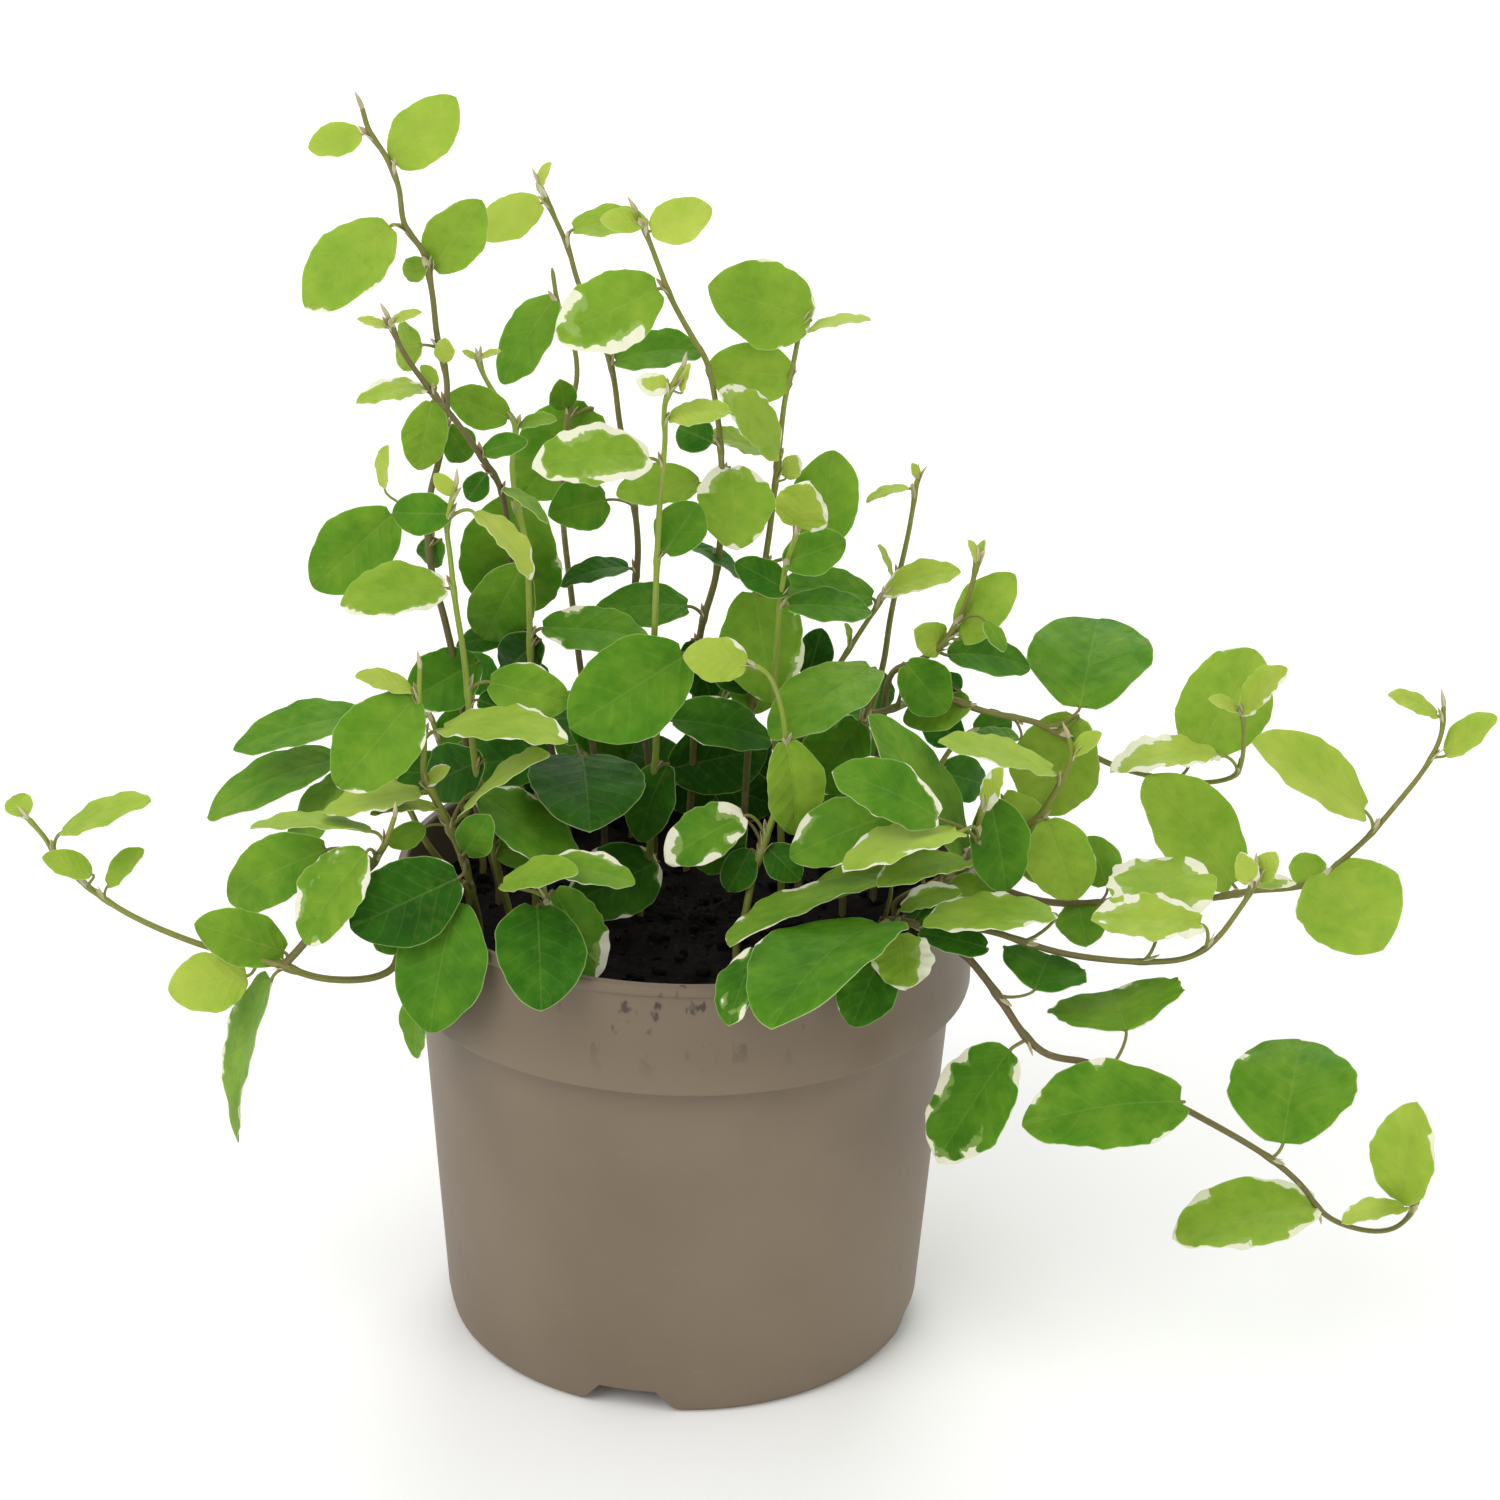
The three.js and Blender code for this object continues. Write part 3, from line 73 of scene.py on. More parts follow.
def spot(across, down, depth):  # a place in the view, at a depth behind the pot's axis
    ray = viewAhead * view["reach"] + viewRight * (across - view["middle"]) + viewUp * (view["middle"] - down)
    return viewEye + ray * (depth - viewEye[1]) / ray[1]


def seen(points):  # where the view shows some places
    away = points - viewEye
    reach = away @ viewAhead
    return np.stack([view["middle"] + view["reach"] * (away @ viewRight) / reach,
                     view["middle"] - view["reach"] * (away @ viewUp) / reach], axis=-1)


# One row a stem: its name, its root in the soil as x, y or the stem that it leaves, its route as
# across,down,depth and its leaves. A leaf is its foot across and down, tip across and down and width
# as seen, then its lean, age and cream in hundredths, and its depth where it isn't the stem's own.
# The age column is partly the leaf's real age and partly painted shade: leaves that stand in shade, at the
# back and deep in the plant, are given higher ages, so darker greens.
stemRows = [
    ("trailing_right_low", (42, -24), [912,944,-34, 938,938,-41, 962,952,-45, 988,982,-48, 1006,1008,-50,
     1024,1035,-51, 1048,1056,-52, 1085,1062,-52, 1130,1082,-52, 1183,1108,-51, 1268,1157,-50,
     1300,1184,-50, 1326,1216,-49, 1360,1230,-48, 1392,1231,-48, 1412,1212,-48, 1424,1182,-48],
     [(1010,1050,937,1162,76,10,68,70), (1181,1102,1022,1126,90,15,68,45,-57),
      (1283,1143,1302,1040,116,-10,58,35), (1316,1207,1172,1238,70,10,35,60),
      (1399,1201,1417,1102,58,10,30,40), (1405,1208,1342,1223,22,30,10,20),
      (1126,1030,1112,990,124,-100,60,40), (1035,989,1050,955,84,-100,75,20), (986,948,918,934,34,0,85)]),
    ("trailing_right_middle", (38, -18), [893,922,-36, 925,925,-41, 985,930,-43, 1030,944,-43, 1060,953,-42,
     1110,960,-41, 1150,962,-40, 1190,958,-39, 1214,942,-38, 1236,914,-38, 1250,892,-38, 1257,866,-38],
     [(880,924,772,1029,86,110,76,15,-52), (886,882,728,945,25,50,50,40),
      (885,945,852,1027,58,35,85,20,-48), (898,934,905,990,58,30,45,90,-48),
      (758,950,729,1026,38,30,75,45,-59), (1053,913,923,926,38,10,45,70), (1201,924,1091,920,46,10,20,90),
      (1158,930,1166,857,102,-100,35,100), (1252,884,1240,852,22,20,15,90), (1258,880,1276,852,26,10,15,30),
      (1254,886,1296,883,15,-20,30,50), (914,925,938,911,14,0,80), (885,874,812,893,30,20,50,10,-32),
      (950,915,903,914,22,10,90), (902,908,962,893,24,10,40,50)]),
    ("trailing_right_far", (47, -6), [955,884,-8, 985,884,-11, 1012,893,-13, 1045,902,-15, 1107,903,-16,
     1200,900,-16, 1250,891,-16, 1312,884,-16, 1340,862,-16, 1367,838,-16, 1400,800,-16, 1427,765,-16,
     1441,735,-16, 1444,702,-16],
     [(1233,884,1146,776,78,0,40,10), (1364,810,1252,742,54,10,25,15), (1437,715,1388,695,18,10,15),
      (1446,755,1497,716,31,10,20), (1325,872,1383,950,96,20,28,15), (1314,886,1300,853,34,-20,40,10),
      (1107,885,1088,836,42,-10,60,30), (1078,904,1086,947,46,20,55,10)]),
    ("pale_tip_right", (41, -12), [905,925,-24, 930,894,-28, 945,880,-30, 960,864,-31, 975,850,-32,
     978,826,-33, 984,806,-34],
     [(985,808,1003,768,20,20,10,60), (963,850,868,716,48,-15,65), (958,832,843,872,36,45,25,60,-42),
      (938,818,832,772,56,0,70,50), (893,815,790,858,66,10,60,50), (990,800,1006,893,56,10,75,10),
      (948,884,1000,905,30,20,50), (966,862,878,887,34,20,40,30), (930,858,888,866,24,-20,90)]),
    ("bud_shoot_right", (44, 0), [940,880,-8, 985,858,-14, 1015,836,-18, 1037,818,-20, 1050,800,-22,
     1062,780,-23, 1072,757,-24, 1068,734,-25],
     [(1052,771,938,742,27,10,25,30), (1073,753,1102,733,18,20,15,10), (1046,820,1076,900,62,10,42,20),
      (1003,797,1048,882,48,0,35,30)]),
    ("trailing_right_high", (33, 4), [850,800,3, 857,740,2, 868,715,3, 884,713,4, 905,704,5, 950,699,7,
     975,709,9, 1000,715,11, 1040,724,13, 1105,762,16, 1150,776,18, 1200,783,19, 1232,779,18, 1241,764,16,
     1244,736,14, 1243,712,12],
     [(1080,707,1099,619,118,-60,66), (1078,717,1036,812,86,-10,42,10), (1195,756,1256,650,88,-45,36,20),
      (1218,755,1110,772,34,20,20,90), (1243,712,1288,668,30,20,12,70), (1238,710,1208,699,13,20,15,20),
      (970,702,903,721,42,-10,60), (906,664,946,712,52,-30,65), (1018,739,966,738,16,-30,70),
      (860,722,813,790,68,-20,60,40), (872,668,772,740,62,60,60,10)]),
    ("pale_pair_right", (40, 12), [872,800,11, 882,730,10, 893,672,9, 915,663,8, 942,645,7, 962,612,6,
     971,588,5, 978,558,5],
     [(977,562,968,540,8,10,10,20), (979,562,985,540,8,10,10,20), (961,638,1015,574,50,10,35,10),
      (944,646,914,630,36,10,35,10), (986,622,1004,652,16,-20,55), (948,655,1030,668,40,-30,80),
      (960,690,944,674,20,-30,85)]),
    ("thin_twig_right", (33, 22), [850,800,24, 862,740,27, 874,700,30, 884,660,32, 890,620,34, 898,580,37,
     909,530,40, 918,476,43],
     [(918,478,912,463,9,10,10), (909,488,866,502,10,20,30), (893,577,878,545,6,30,20),
      (866,735,905,762,40,-30,80)]),
    ("dark_pair_right", (24, 16), [800,800,16, 812,740,17, 827,684,19, 842,660,21, 868,620,24, 884,596,26],
     [(885,593,961,572,30,10,25,20), (872,598,772,590,44,-10,68,10), (849,644,845,623,6,10,40),
      (808,676,822,628,36,-20,95), (812,748,862,800,56,-20,80,10), (806,770,846,815,50,-20,100)]),
    ("front_arc_shoot", (10, -20), [745,915,-24, 752,880,-24, 765,840,-24, 782,790,-23, 786,745,-22,
     779,700,-22, 768,675,-22, 752,664,-22],
     [(747,663,683,655,46,20,15,50), (786,742,795,835,54,20,44), (744,816,665,862,54,20,60,75),
      (750,850,728,892,34,10,85,10), (742,822,700,870,46,-30,85), (768,848,800,880,36,0,85)]),
    ("front_upright", (-10, 4), [650,850,2, 648,815,0, 655,765,-3, 656,715,-6, 653,670,-9, 655,620,-12,
     657,560,-15, 660,500,-19, 665,440,-23, 665,404,-27, 675,380,-29, 685,363,-31],
     [(668,388,636,380,25,20,10,60), (682,392,690,363,9,10,10,20), (669,418,732,412,25,20,20,40),
      (650,458,532,468,60,30,50,70), (665,552,698,503,50,-10,60), (683,657,570,728,98,30,66,10,-15),
      (672,720,772,740,50,-30,85,20), (658,862,568,905,74,20,84,40), (668,765,640,842,46,10,85)]),
    ("cream_leaf_tall", (0, 24), [692,780,22, 695,700,19, 701,630,14, 716,575,9, 722,500,5, 718,420,2,
     706,360,-1, 697,345,-2, 672,300,-6, 661,272,-8, 648,238,-11, 635,208,-14],
     [(651,231,712,208,46,10,15,10), (641,224,600,219,25,20,15,10), (658,289,556,338,78,20,50,70),
      (700,483,616,494,42,10,40,10), (730,468,738,550,74,30,40,70), (690,546,748,583,14,10,90),
      (687,606,590,618,46,0,70,10), (712,442,678,428,40,-30,80,10), (672,768,768,748,74,-10,100,5),
      (692,640,712,700,44,-20,95), (688,775,626,752,56,-20,100)]),
    ("round_top", (12, 14), [745,800,11, 752,700,10, 760,600,10, 771,520,10, 779,450,11, 785,400,13,
     793,365,15, 800,330,17, 808,298,19],
     [(808,331,871,320,11,10,15), (811,320,708,286,86,10,44,30), (792,376,705,370,64,10,45,10),
      (779,453,720,390,40,30,30,50), (778,458,704,436,22,20,40,60), (752,690,712,640,44,-20,95),
      (786,478,798,455,22,30,10,30), (818,545,834,450,66,-30,60), (754,592,772,702,80,30,50,50),
      (774,700,728,688,38,10,60,50)]),
    ("young_round", (20, 6), [780,800,2, 774,720,-1, 778,630,-6, 785,570,-10, 797,532,-14],
     [(797,527,810,483,54,20,14,50), (785,563,846,540,46,-30,62,10), (788,592,735,562,36,-20,85),
      (790,606,872,612,34,-20,70)]),
    ("tall_middle", (-7, 30), [650,780,29, 640,690,29, 632,620,28, 638,550,27, 632,490,26, 620,425,25,
     612,370,25, 595,322,25, 578,282,26, 568,248,27, 554,216,28, 538,180,29],
     [(540,187,551,162,10,10,5), (541,203,478,237,43,10,20,10), (574,229,650,222,31,-10,30,10),
      (616,362,705,352,39,0,66,10), (629,568,560,586,23,10,90), (606,500,548,514,54,0,66)]),
    ("slender_back", (-18, 36), [600,790,36, 585,700,38, 572,600,40, 562,500,42, 566,430,45, 577,375,48,
     572,338,51, 559,308,53, 552,268,55],
     [(554,299,502,384,47,10,62,10), (564,409,560,379,28,20,60,10), (592,410,522,496,84,-10,60),
      (580,690,625,760,60,-20,85,10)]),
    ("twin_tip", (-32, 2), [538,800,-1, 534,740,-2, 531,670,-3, 529,600,-3, 526,545,-1, 517,505,2,
     512,468,5, 515,424,9, 500,402,12, 484,376,15, 478,358,17],
     [(478,359,462,351,7,20,10), (480,358,501,351,7,10,10), (519,426,557,420,14,20,50),
      (508,418,448,395,43,0,50,10), (522,566,484,640,62,-50,66,10), (519,497,508,613,100,-30,56,35,10),
      (540,640,505,672,50,-40,100), (543,628,650,640,46,0,60,40), (582,757,590,832,106,20,92,10)]),
    ("brown_arch", (-24, 14), [560,790,14, 545,720,13, 528,640,10, 512,560,5, 500,487,-6, 480,455,-12,
     455,420,-17, 428,387,-22, 402,350,-27, 387,314,-31],
     [(388,327,357,319,10,10,10), (391,323,422,312,10,-10,10), (426,389,356,403,22,20,30,50),
      (436,386,421,365,15,-30,40), (503,489,548,524,12,20,50), (483,453,528,441,24,-10,75),
      (486,474,468,500,26,-20,80), (550,760,440,772,64,-10,85,10), (508,640,456,646,26,-10,90)]),
    ("tall_left", (-40, 8), [470,780,7, 462,700,6, 446,625,4, 430,560,2, 430,497,0, 440,455,-1, 447,385,-4,
     437,335,-7, 432,292,-10, 423,252,-13, 405,226,-16, 398,185,-19, 385,155,-21, 370,133,-23, 361,104,-25],
     [(362,134,308,148,34,0,15,30), (395,164,456,97,59,10,28,10), (390,226,305,308,68,20,30,20),
      (433,268,482,200,58,10,38,15), (427,263,404,275,26,-10,45), (421,345,396,349,50,-100,35),
      (444,362,445,338,20,20,10,20), (432,402,418,470,44,-10,48,10), (447,427,468,460,36,-20,60,10),
      (384,488,388,445,13,10,15), (392,515,313,588,72,10,55,10), (441,540,425,562,30,-20,75),
      (478,662,408,702,62,0,80,20)]),
    ("front_left_upright", (-37, -8), [498,870,-12, 486,805,-14, 475,762,-15, 469,705,-16, 463,650,-17,
     455,600,-18, 450,555,-18, 447,528,-18, 451,503,-18, 457,482,-18],
     [(454,494,434,474,18,10,10), (474,512,531,580,24,35,12,25), (446,588,340,605,52,20,45,30),
      (450,514,392,513,44,-20,70), (490,682,571,703,56,20,60,20), (483,760,430,785,60,-20,85,10),
      (498,852,572,840,48,10,60,10), (478,700,525,716,40,-30,95)]),
    ("bud_shoot_left", (-43, -14), [474,900,-20, 466,868,-22, 455,840,-24, 438,803,-26, 424,775,-27,
     424,745,-28, 419,710,-29, 420,664,-30],
     [(411,691,355,676,21,10,10), (414,698,338,788,78,20,60,25), (443,729,568,742,36,30,25,70),
      (426,784,450,767,15,20,15,20), (464,814,549,755,15,40,30), (478,794,578,876,54,25,60,30),
      (436,809,370,814,15,30,15), (425,827,388,845,26,0,60), (466,852,490,815,38,10,65),
      (420,792,323,814,28,10,25,20), (456,902,430,1033,82,35,66,10,-37), (458,878,350,928,84,10,95,15,-33)]),
    ("trailing_left", (-45, -22), [450,895,-24, 428,880,-25, 411,893,-28, 403,925,-30, 398,955,-32,
     391,972,-33, 370,979,-34, 318,978,-36, 283,966,-36, 245,957,-34, 190,941,-32, 118,908,-30, 60,862,-28,
     45,838,-28, 26,816,-28],
     [(26,816,13,796,28,-30,30), (62,832,151,800,26,10,25), (92,874,42,857,28,-10,30),
      (108,885,144,849,21,-10,40), (247,976,168,990,60,10,12,10), (284,952,194,924,58,0,55,10),
      (271,980,238,1142,26,10,50,30), (425,985,416,1058,26,0,60,0,-40), (408,922,376,950,40,10,75,10,-36)]),
    ("pink_bud_left", "trailing_left", [283,966,-36, 300,948,-36, 335,905,-35, 368,870,-34, 383,848,-35,
     396,813,-38],
     [(366,852,305,944,58,10,50,50), (326,850,228,898,66,0,60,10), (372,831,250,828,16,20,25)]),
    ("left_middle", (-46, 2), [428,845,-1, 405,800,1, 385,765,3, 370,732,4],
     [(362,716,233,750,42,10,65,10), (337,760,207,818,44,10,65), (356,772,287,857,36,20,50,15),
      (398,776,336,806,26,30,20,10), (388,800,348,796,26,0,70,20)]),
    ("front_low", (-26, -30), [548,930,-40, 545,895,-43, 541,868,-44],
     [(537,908,541,1011,82,85,84,10,-46), (554,892,598,977,54,25,72,80,-38), (548,864,635,884,34,20,50,35),
      (503,884,578,872,30,40,45,10)]),
    # The back stems' leaves stand in the plant's shade; their high ages are painted shade as well as age.
    ("back_left", (-30, 34), [522,790,38, 505,735,43, 493,690,46],
     [(507,742,440,738,54,-50,90), (494,700,548,668,50,-50,85), (512,765,545,800,54,-30,95),
      (492,692,462,655,40,-40,80,10)]),
    ("back_middle_left", (-12, 43), [615,800,46, 608,745,49, 602,690,51],
     [(610,762,664,788,58,-10,95), (605,715,550,720,56,-40,90), (602,692,635,655,48,-30,85),
      (612,780,570,810,50,-20,95)]),
    ("back_middle_right", (10, 45), [715,800,48, 718,745,51, 724,690,53],
     [(716,775,668,800,56,-20,95), (719,740,770,770,56,-40,95), (723,700,700,650,46,-30,85),
      (716,785,775,805,50,-20,100)]),
    ("back_right", (30, 37), [830,800,40, 836,745,43, 848,690,46],
     [(833,770,885,790,56,-30,90), (841,720,790,705,50,-40,90), (848,692,895,690,44,-40,85)]),
    ("back_far_left", (-44, 21), [460,800,25, 442,750,29, 430,712,31],
     [(452,775,395,772,46,-30,85), (437,735,480,720,40,-40,85), (430,714,398,700,36,-30,75,10)]),
    ("back_far_right", (44, 22), [928,790,28, 950,750,32, 975,728,35],
     [(938,772,985,785,46,-30,85), (960,742,925,715,40,-40,85), (974,730,1012,722,34,-30,75,10)]),
    ("trailing_back_left", (-22, 48), [583,760,54, 573,717,62, 556,732,72, 540,777,80, 522,831,84],
     [(588,740,630,735,30,-50,85), (570,724,520,740,34,-50,80,10), (556,742,610,775,40,-40,75,10),
      (540,785,480,800,40,-30,65,20), (530,820,575,865,44,-20,55,30), (520,834,500,880,36,-10,35,40)]),
    ("trailing_back_right", (22, 47), [800,760,54, 819,717,62, 848,726,71, 886,764,78, 923,812,80],
     [(806,738,770,725,30,-50,90), (826,722,880,715,30,-40,80), (850,736,820,790,42,-30,75,10),
      (880,766,935,765,34,-30,65,10), (900,790,870,850,44,-20,55,30), (926,816,940,855,34,-10,35,40)]),
]
# The pot's sizes are needed here too, because the stems pass over its rim.
potShape = {"height": 103.3, "rim": 60.0, "lip": 60.8, "bandHeight": 24.5, "bandStep": 3.6, "base": 50.6,
            "foot": 48.9, "middle": (53.2, 34), "wall": 1.5, "floor": 1.6, "sides": 128, "channels": 4,
            "firstAngle": -13.3, "channelLow": 21.0, "channelHigh": 12.0, "channelHeight": 5.6,
            "channelStart": 20.0, "drain": 4.0, "drainSides": 24, "drainCircle": 32.0}
stalk = {"soilLevel": 89.8, "soilLump": 1.1, "holeDepth": 11, "seat": 0.3, "stemRadius": 0.75,
         "sampleStep": 1.8, "fineStep": 1.3, "bendTolerance": 0.75, "clearGap": 0.55,
         "bladeThickness": 0.62}
blade = {"narrowRatio": 0.63, "roundRatio": 0.76, "roundTurn": 0.12, "mostTurn": 1.35,
         "footPower": 0.55, "tipPower": 0.65, "fullest": 0.437, "long": 30, "short": 9,
         "aboveSoil": 5, "leastStalk": 1.6, "jointBack": (0.55, 0.4), "mostWave": 0.6, "waveShare": 0.05,
         # the least and the spread of what is drawn by chance
         "arch": (0.03, 0.06), "fold": (0.05, 0.16), "phase": (0, 6.28), "firstDraw": 20241}


def lengthsAlong(run):
    return np.concatenate([[0], np.cumsum(norm(np.diff(run, axis=0), axis=1))])


def centripetal(points, shares):  # a smooth run through points, at shares from 0 to 1 of its spans
    points = np.array(points)
    spans = len(points) - 1
    padded = np.vstack([2 * points[0] - points[1], points, 2 * points[-1] - points[-2]])
    at = np.clip(np.asarray(shares) * spans, 0, spans)
    index = np.minimum(np.floor(at).astype(int), spans - 1)
    weight = (at - index)[:, None]
    p0, p1, p2, p3 = (padded[index + k] for k in range(4))
    d0, d1, d2 = (np.sqrt(norm(b - a, axis=1))[:, None] for a, b in ((p0, p1), (p1, p2), (p2, p3)))
    leaving = ((p1 - p0) / d0 - (p2 - p0) / (d0 + d1) + (p2 - p1) / d1) * d1
    arriving = ((p2 - p1) / d1 - (p3 - p1) / (d1 + d2) + (p3 - p2) / d2) * d1
    square = -3 * p1 + 3 * p2 - 2 * leaving - arriving
    cube = 2 * p1 - 2 * p2 + leaving + arriving
    return p1 + leaving * weight + square * weight ** 2 + cube * weight ** 3


def spaced(points, step):  # the smooth run again, at even steps along it
    shares = np.linspace(0, 1, 201)
    lengths = lengthsAlong(centripetal(points, shares))
    count = math.ceil(lengths[-1] / step)
    return centripetal(points, np.interp(np.linspace(0, lengths[-1], count + 1), lengths, shares))


def overRim(points):  # what would cut the pot's rim is lifted to pass just over it
    radius = np.hypot(points[:, 0], points[:, 1])
    spare = stalk["stemRadius"] + stalk["clearGap"]
    near = (radius > potShape["rim"] - potShape["wall"] - spare) & (radius < potShape["lip"] + spare)
    points[near, 2] = np.maximum(points[near, 2], potShape["height"] + spare)
    return points


def closestOn(start, end, target):
    along = end - start
    share = np.clip(np.dot(target - start, along) / max(np.dot(along, along), 1e-12), 0, 1)
    return start + share * along


def thinned(points, tolerance):  # only the points where a run bends
    gaps = [norm(closestOn(points[0], points[-1], point) - point) for point in points[1:-1]]
    if not gaps or max(gaps) <= tolerance:
        return [points[0], points[-1]]
    split = int(np.argmax(gaps)) + 1
    return thinned(points[:split + 1], tolerance) + thinned(points[split:], tolerance)[1:]


def nearestOn(points, target):
    places = [closestOn(a, b, target) for a, b in zip(points[:-1], points[1:])]
    index = int(np.argmin([norm(place - target) for place in places]))
    return places[index], index


def nearestSeen(points, across, down):
    shares = (np.arange(13) / 12)[None, :, None]
    starts, ends = np.array(points[1:-1])[:, None], np.array(points[2:])[:, None]
    places = starts + (ends - starts) * shares
    gaps = norm(seen(places) - (across, down), axis=-1)
    index, step = np.unravel_index(np.argmin(gaps), gaps.shape)
    return places[index, step], int(index) + 1


def backAlong(points, place, index, distance):  # nearer to the root by a distance, but above the soil
    point = place
    while index > 1 and norm(points[index] - point) < distance:
        distance -= norm(points[index] - point)
        point = points[index]
        index -= 1
    toward = points[index] - point
    moved = point + unit(toward) * min(distance, norm(toward))
    return moved if moved[2] > stalk["soilLevel"] + blade["aboveSoil"] else place


def setRoute(stem, route, parent):
    route = np.reshape(route, (-1, 3))
    if parent:
        start = [nearestOn(parent.rings, spot(*route[0]))[0]]
        route = route[1:]
    else:
        foot = stalk["soilLevel"] + stalk["soilLump"]
        start = [np.array([*stem.root, foot + 0.6]), np.array([*stem.root, foot + 3.0])]
    run = start + [spot(*row) for row in route]
    stem.rings = thinned(overRim(spaced(run, stalk["sampleStep"])), stalk["bendTolerance"])
    stem.run = overRim(spaced(run, stalk["fineStep"]))
    heights = stem.run[:, 2]
    for turn in range(6):  # the lift over the rim is eased into the run on both sides
        heights[1:-1] = np.maximum(heights[1:-1], (heights[:-2] + heights[1:-1] + heights[2:]) / 3)
    if not parent:
        bottom = np.array([*stem.root, stalk["soilLevel"] - stalk["holeDepth"] + stalk["seat"]])
        stem.rings = [bottom] + stem.rings
        stem.run = np.vstack([bottom, bottom + (0, 0, 5), stem.run])


drawState = blade["firstDraw"]


def draw():  # whole-number steps, the same on any machine
    global drawState
    drawState = (drawState * 1664525 + 1013904223) % 4294967296
    return drawState / 4294967296


def drawn(name):
    least, spread = blade[name]
    return least + spread * draw()


def makeLeaf(rings, across, down, tipAcross, tipDown, seenWidth, lean, age, cream=0, depth=None):
    if depth is None:
        place, index = nearestSeen(rings, across, down)
        depth = place[1]
    else:
        place, index = nearestOn(rings, spot(across, down, depth))
    foot = spot(across, down, depth)
    flatLength = norm(foot - spot(tipAcross, tipDown, depth))
    width = seenWidth * flatLength / math.hypot(tipAcross - across, tipDown - down)
    offset = -lean / 100 * flatLength
    if width > blade["roundRatio"] * flatLength:  # seen from its end, so it leans away or near
        full = min(width / blade["roundRatio"], 2 * flatLength)
        away = math.sqrt(full * full - flatLength * flatLength)
        offset = -math.copysign(1, lean or 1) * max(away, abs(offset))
        turn = blade["roundTurn"]
    else:  # seen from its side, so it is turned
        whole = max(width, blade["narrowRatio"] * math.hypot(flatLength, offset))
        turn = min(blade["mostTurn"], math.acos(width / whole))
        width = whole
    share, more = blade["jointBack"]
    joint = backAlong(rings, place, index, share * max(blade["leastStalk"], norm(foot - place)) + more)
    return SimpleNamespace(
        ends=((across, down), (tipAcross, tipDown)), depths=(depth, depth + offset), width=width, turn=turn,
        age=age / 100, cream=cream / 100, joint=joint, arch=drawn("arch"), fold=drawn("fold"),
        phase=drawn("phase"), wave=min(blade["mostWave"], blade["waveShare"] * width))


def setBlade(leaf, shift):  # puts a blade in its place, with its foot and tip moved in depth
    leaf.foot, tip = (spot(*end, depth + move) for end, depth, move in zip(leaf.ends, leaf.depths, shift))
    leaf.length = norm(tip - leaf.foot)
    leaf.along = unit(tip - leaf.foot)
    toEye = unit(viewEye - (leaf.foot + tip) / 2)
    flat = unit(toEye - leaf.along * np.dot(toEye, leaf.along))
    cross = np.cross(leaf.along, flat)
    if cross[2] < 0:
        cross = -cross
    leaf.face = flat * math.cos(leaf.turn) + cross * math.sin(leaf.turn)
    leaf.side = np.cross(leaf.face, leaf.along)


def outline(s):  # half the width at a share of the length, where the fullest is 1
    return s ** blade["footPower"] * (1 - s) ** blade["tipPower"] / blade["fullest"]


def rise(leaf, s, across, waves=1.0):  # how far a blade stands off the straight line from foot to tip
    half = np.maximum(0.2, leaf.width / 2 * outline(np.clip(s, 0.001, 0.999)))
    t = np.minimum(1, np.abs(across) / half)
    wave = waves * leaf.wave * t * t * np.sin(leaf.phase + 17 * s + 1.4 * (across > 0))
    return leaf.arch * leaf.length * 4 * s * (1 - s) + leaf.fold * np.abs(across) + wave


# Depth changes that the solid leaves were tried at, to keep them clear of each other.
shifts = [(0, 0)]
for size in (2, 4, 6, 8, 10, 13):
    shifts += [(0, -size), (0, size), (-size, -size), (size, size)]
    shifts += [(-size, -2 * size), (size, 2 * size), (-size, 0), (size, 0)]


def missAt(leaf, shift, solid):  # how far the leaf's corners are from those of the solid node
    setBlade(leaf, shift)
    stations = (0.14, 0.48, 0.83)
    if leaf.length > blade["long"]:
        stations = (0.1, 0.34, 0.62, 0.87)
    elif leaf.length < blade["short"]:
        stations = (0.2, 0.7)
    corners = [(s, t) for s in stations for t in (-1, 1)] + [(0.999, 0)]
    miss = 0
    for s, t in corners:
        across = t * leaf.width / 2 * outline(s)
        off = rise(leaf, s, across) + abs(t) * stalk["bladeThickness"] / 2
        corner = leaf.foot + leaf.along * s * leaf.length + leaf.side * across + leaf.face * off
        miss += min(solid.find(corner * metre)[2] / metre, 1.0)
    return miss / len(corners)


stems = {}
worst = 0
for name, root, route, leaves in stemRows:
    parent = stems.get(root)
    stem = stems[name] = SimpleNamespace(name=name, root=root, node=root if parent else name)
    setRoute(stem, route, parent)
    stem.blades = [makeLeaf(stem.rings, *row) for row in leaves]
    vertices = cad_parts[stem.node].data.vertices
    solid = KDTree(len(vertices))
    for vertex in vertices:
        solid.insert(vertex.co, vertex.index)
    solid.balance()
    for leaf in stem.blades:  # each takes the depths at which it fits its solid
        miss, best = min((missAt(leaf, shift, solid), index) for index, shift in enumerate(shifts))
        setBlade(leaf, shifts[best])
        worst = max(worst, miss)
report("the layout is read, %d leaves, the worst %.3f mm off its solid"
       % (sum(len(stem.blades) for stem in stems.values()), worst))


def deselectAll():
    if bpy.context.mode != "OBJECT":
        bpy.ops.object.mode_set(mode="OBJECT")
    bpy.ops.object.select_all(action="DESELECT")


def pick(piece):
    deselectAll()
    piece.select_set(True)
    bpy.context.view_layer.objects.active = piece


def finishWith(piece, kind, **settings):
    pick(piece)
    modifier = piece.modifiers.new(kind.lower(), kind)
    for name, value in settings.items():
        setattr(modifier, name, value)
    bpy.ops.object.modifier_apply(modifier=modifier.name)


def settlePlace(piece):
    pick(piece)
    bpy.ops.object.transform_apply(location=True, rotation=True, scale=True)


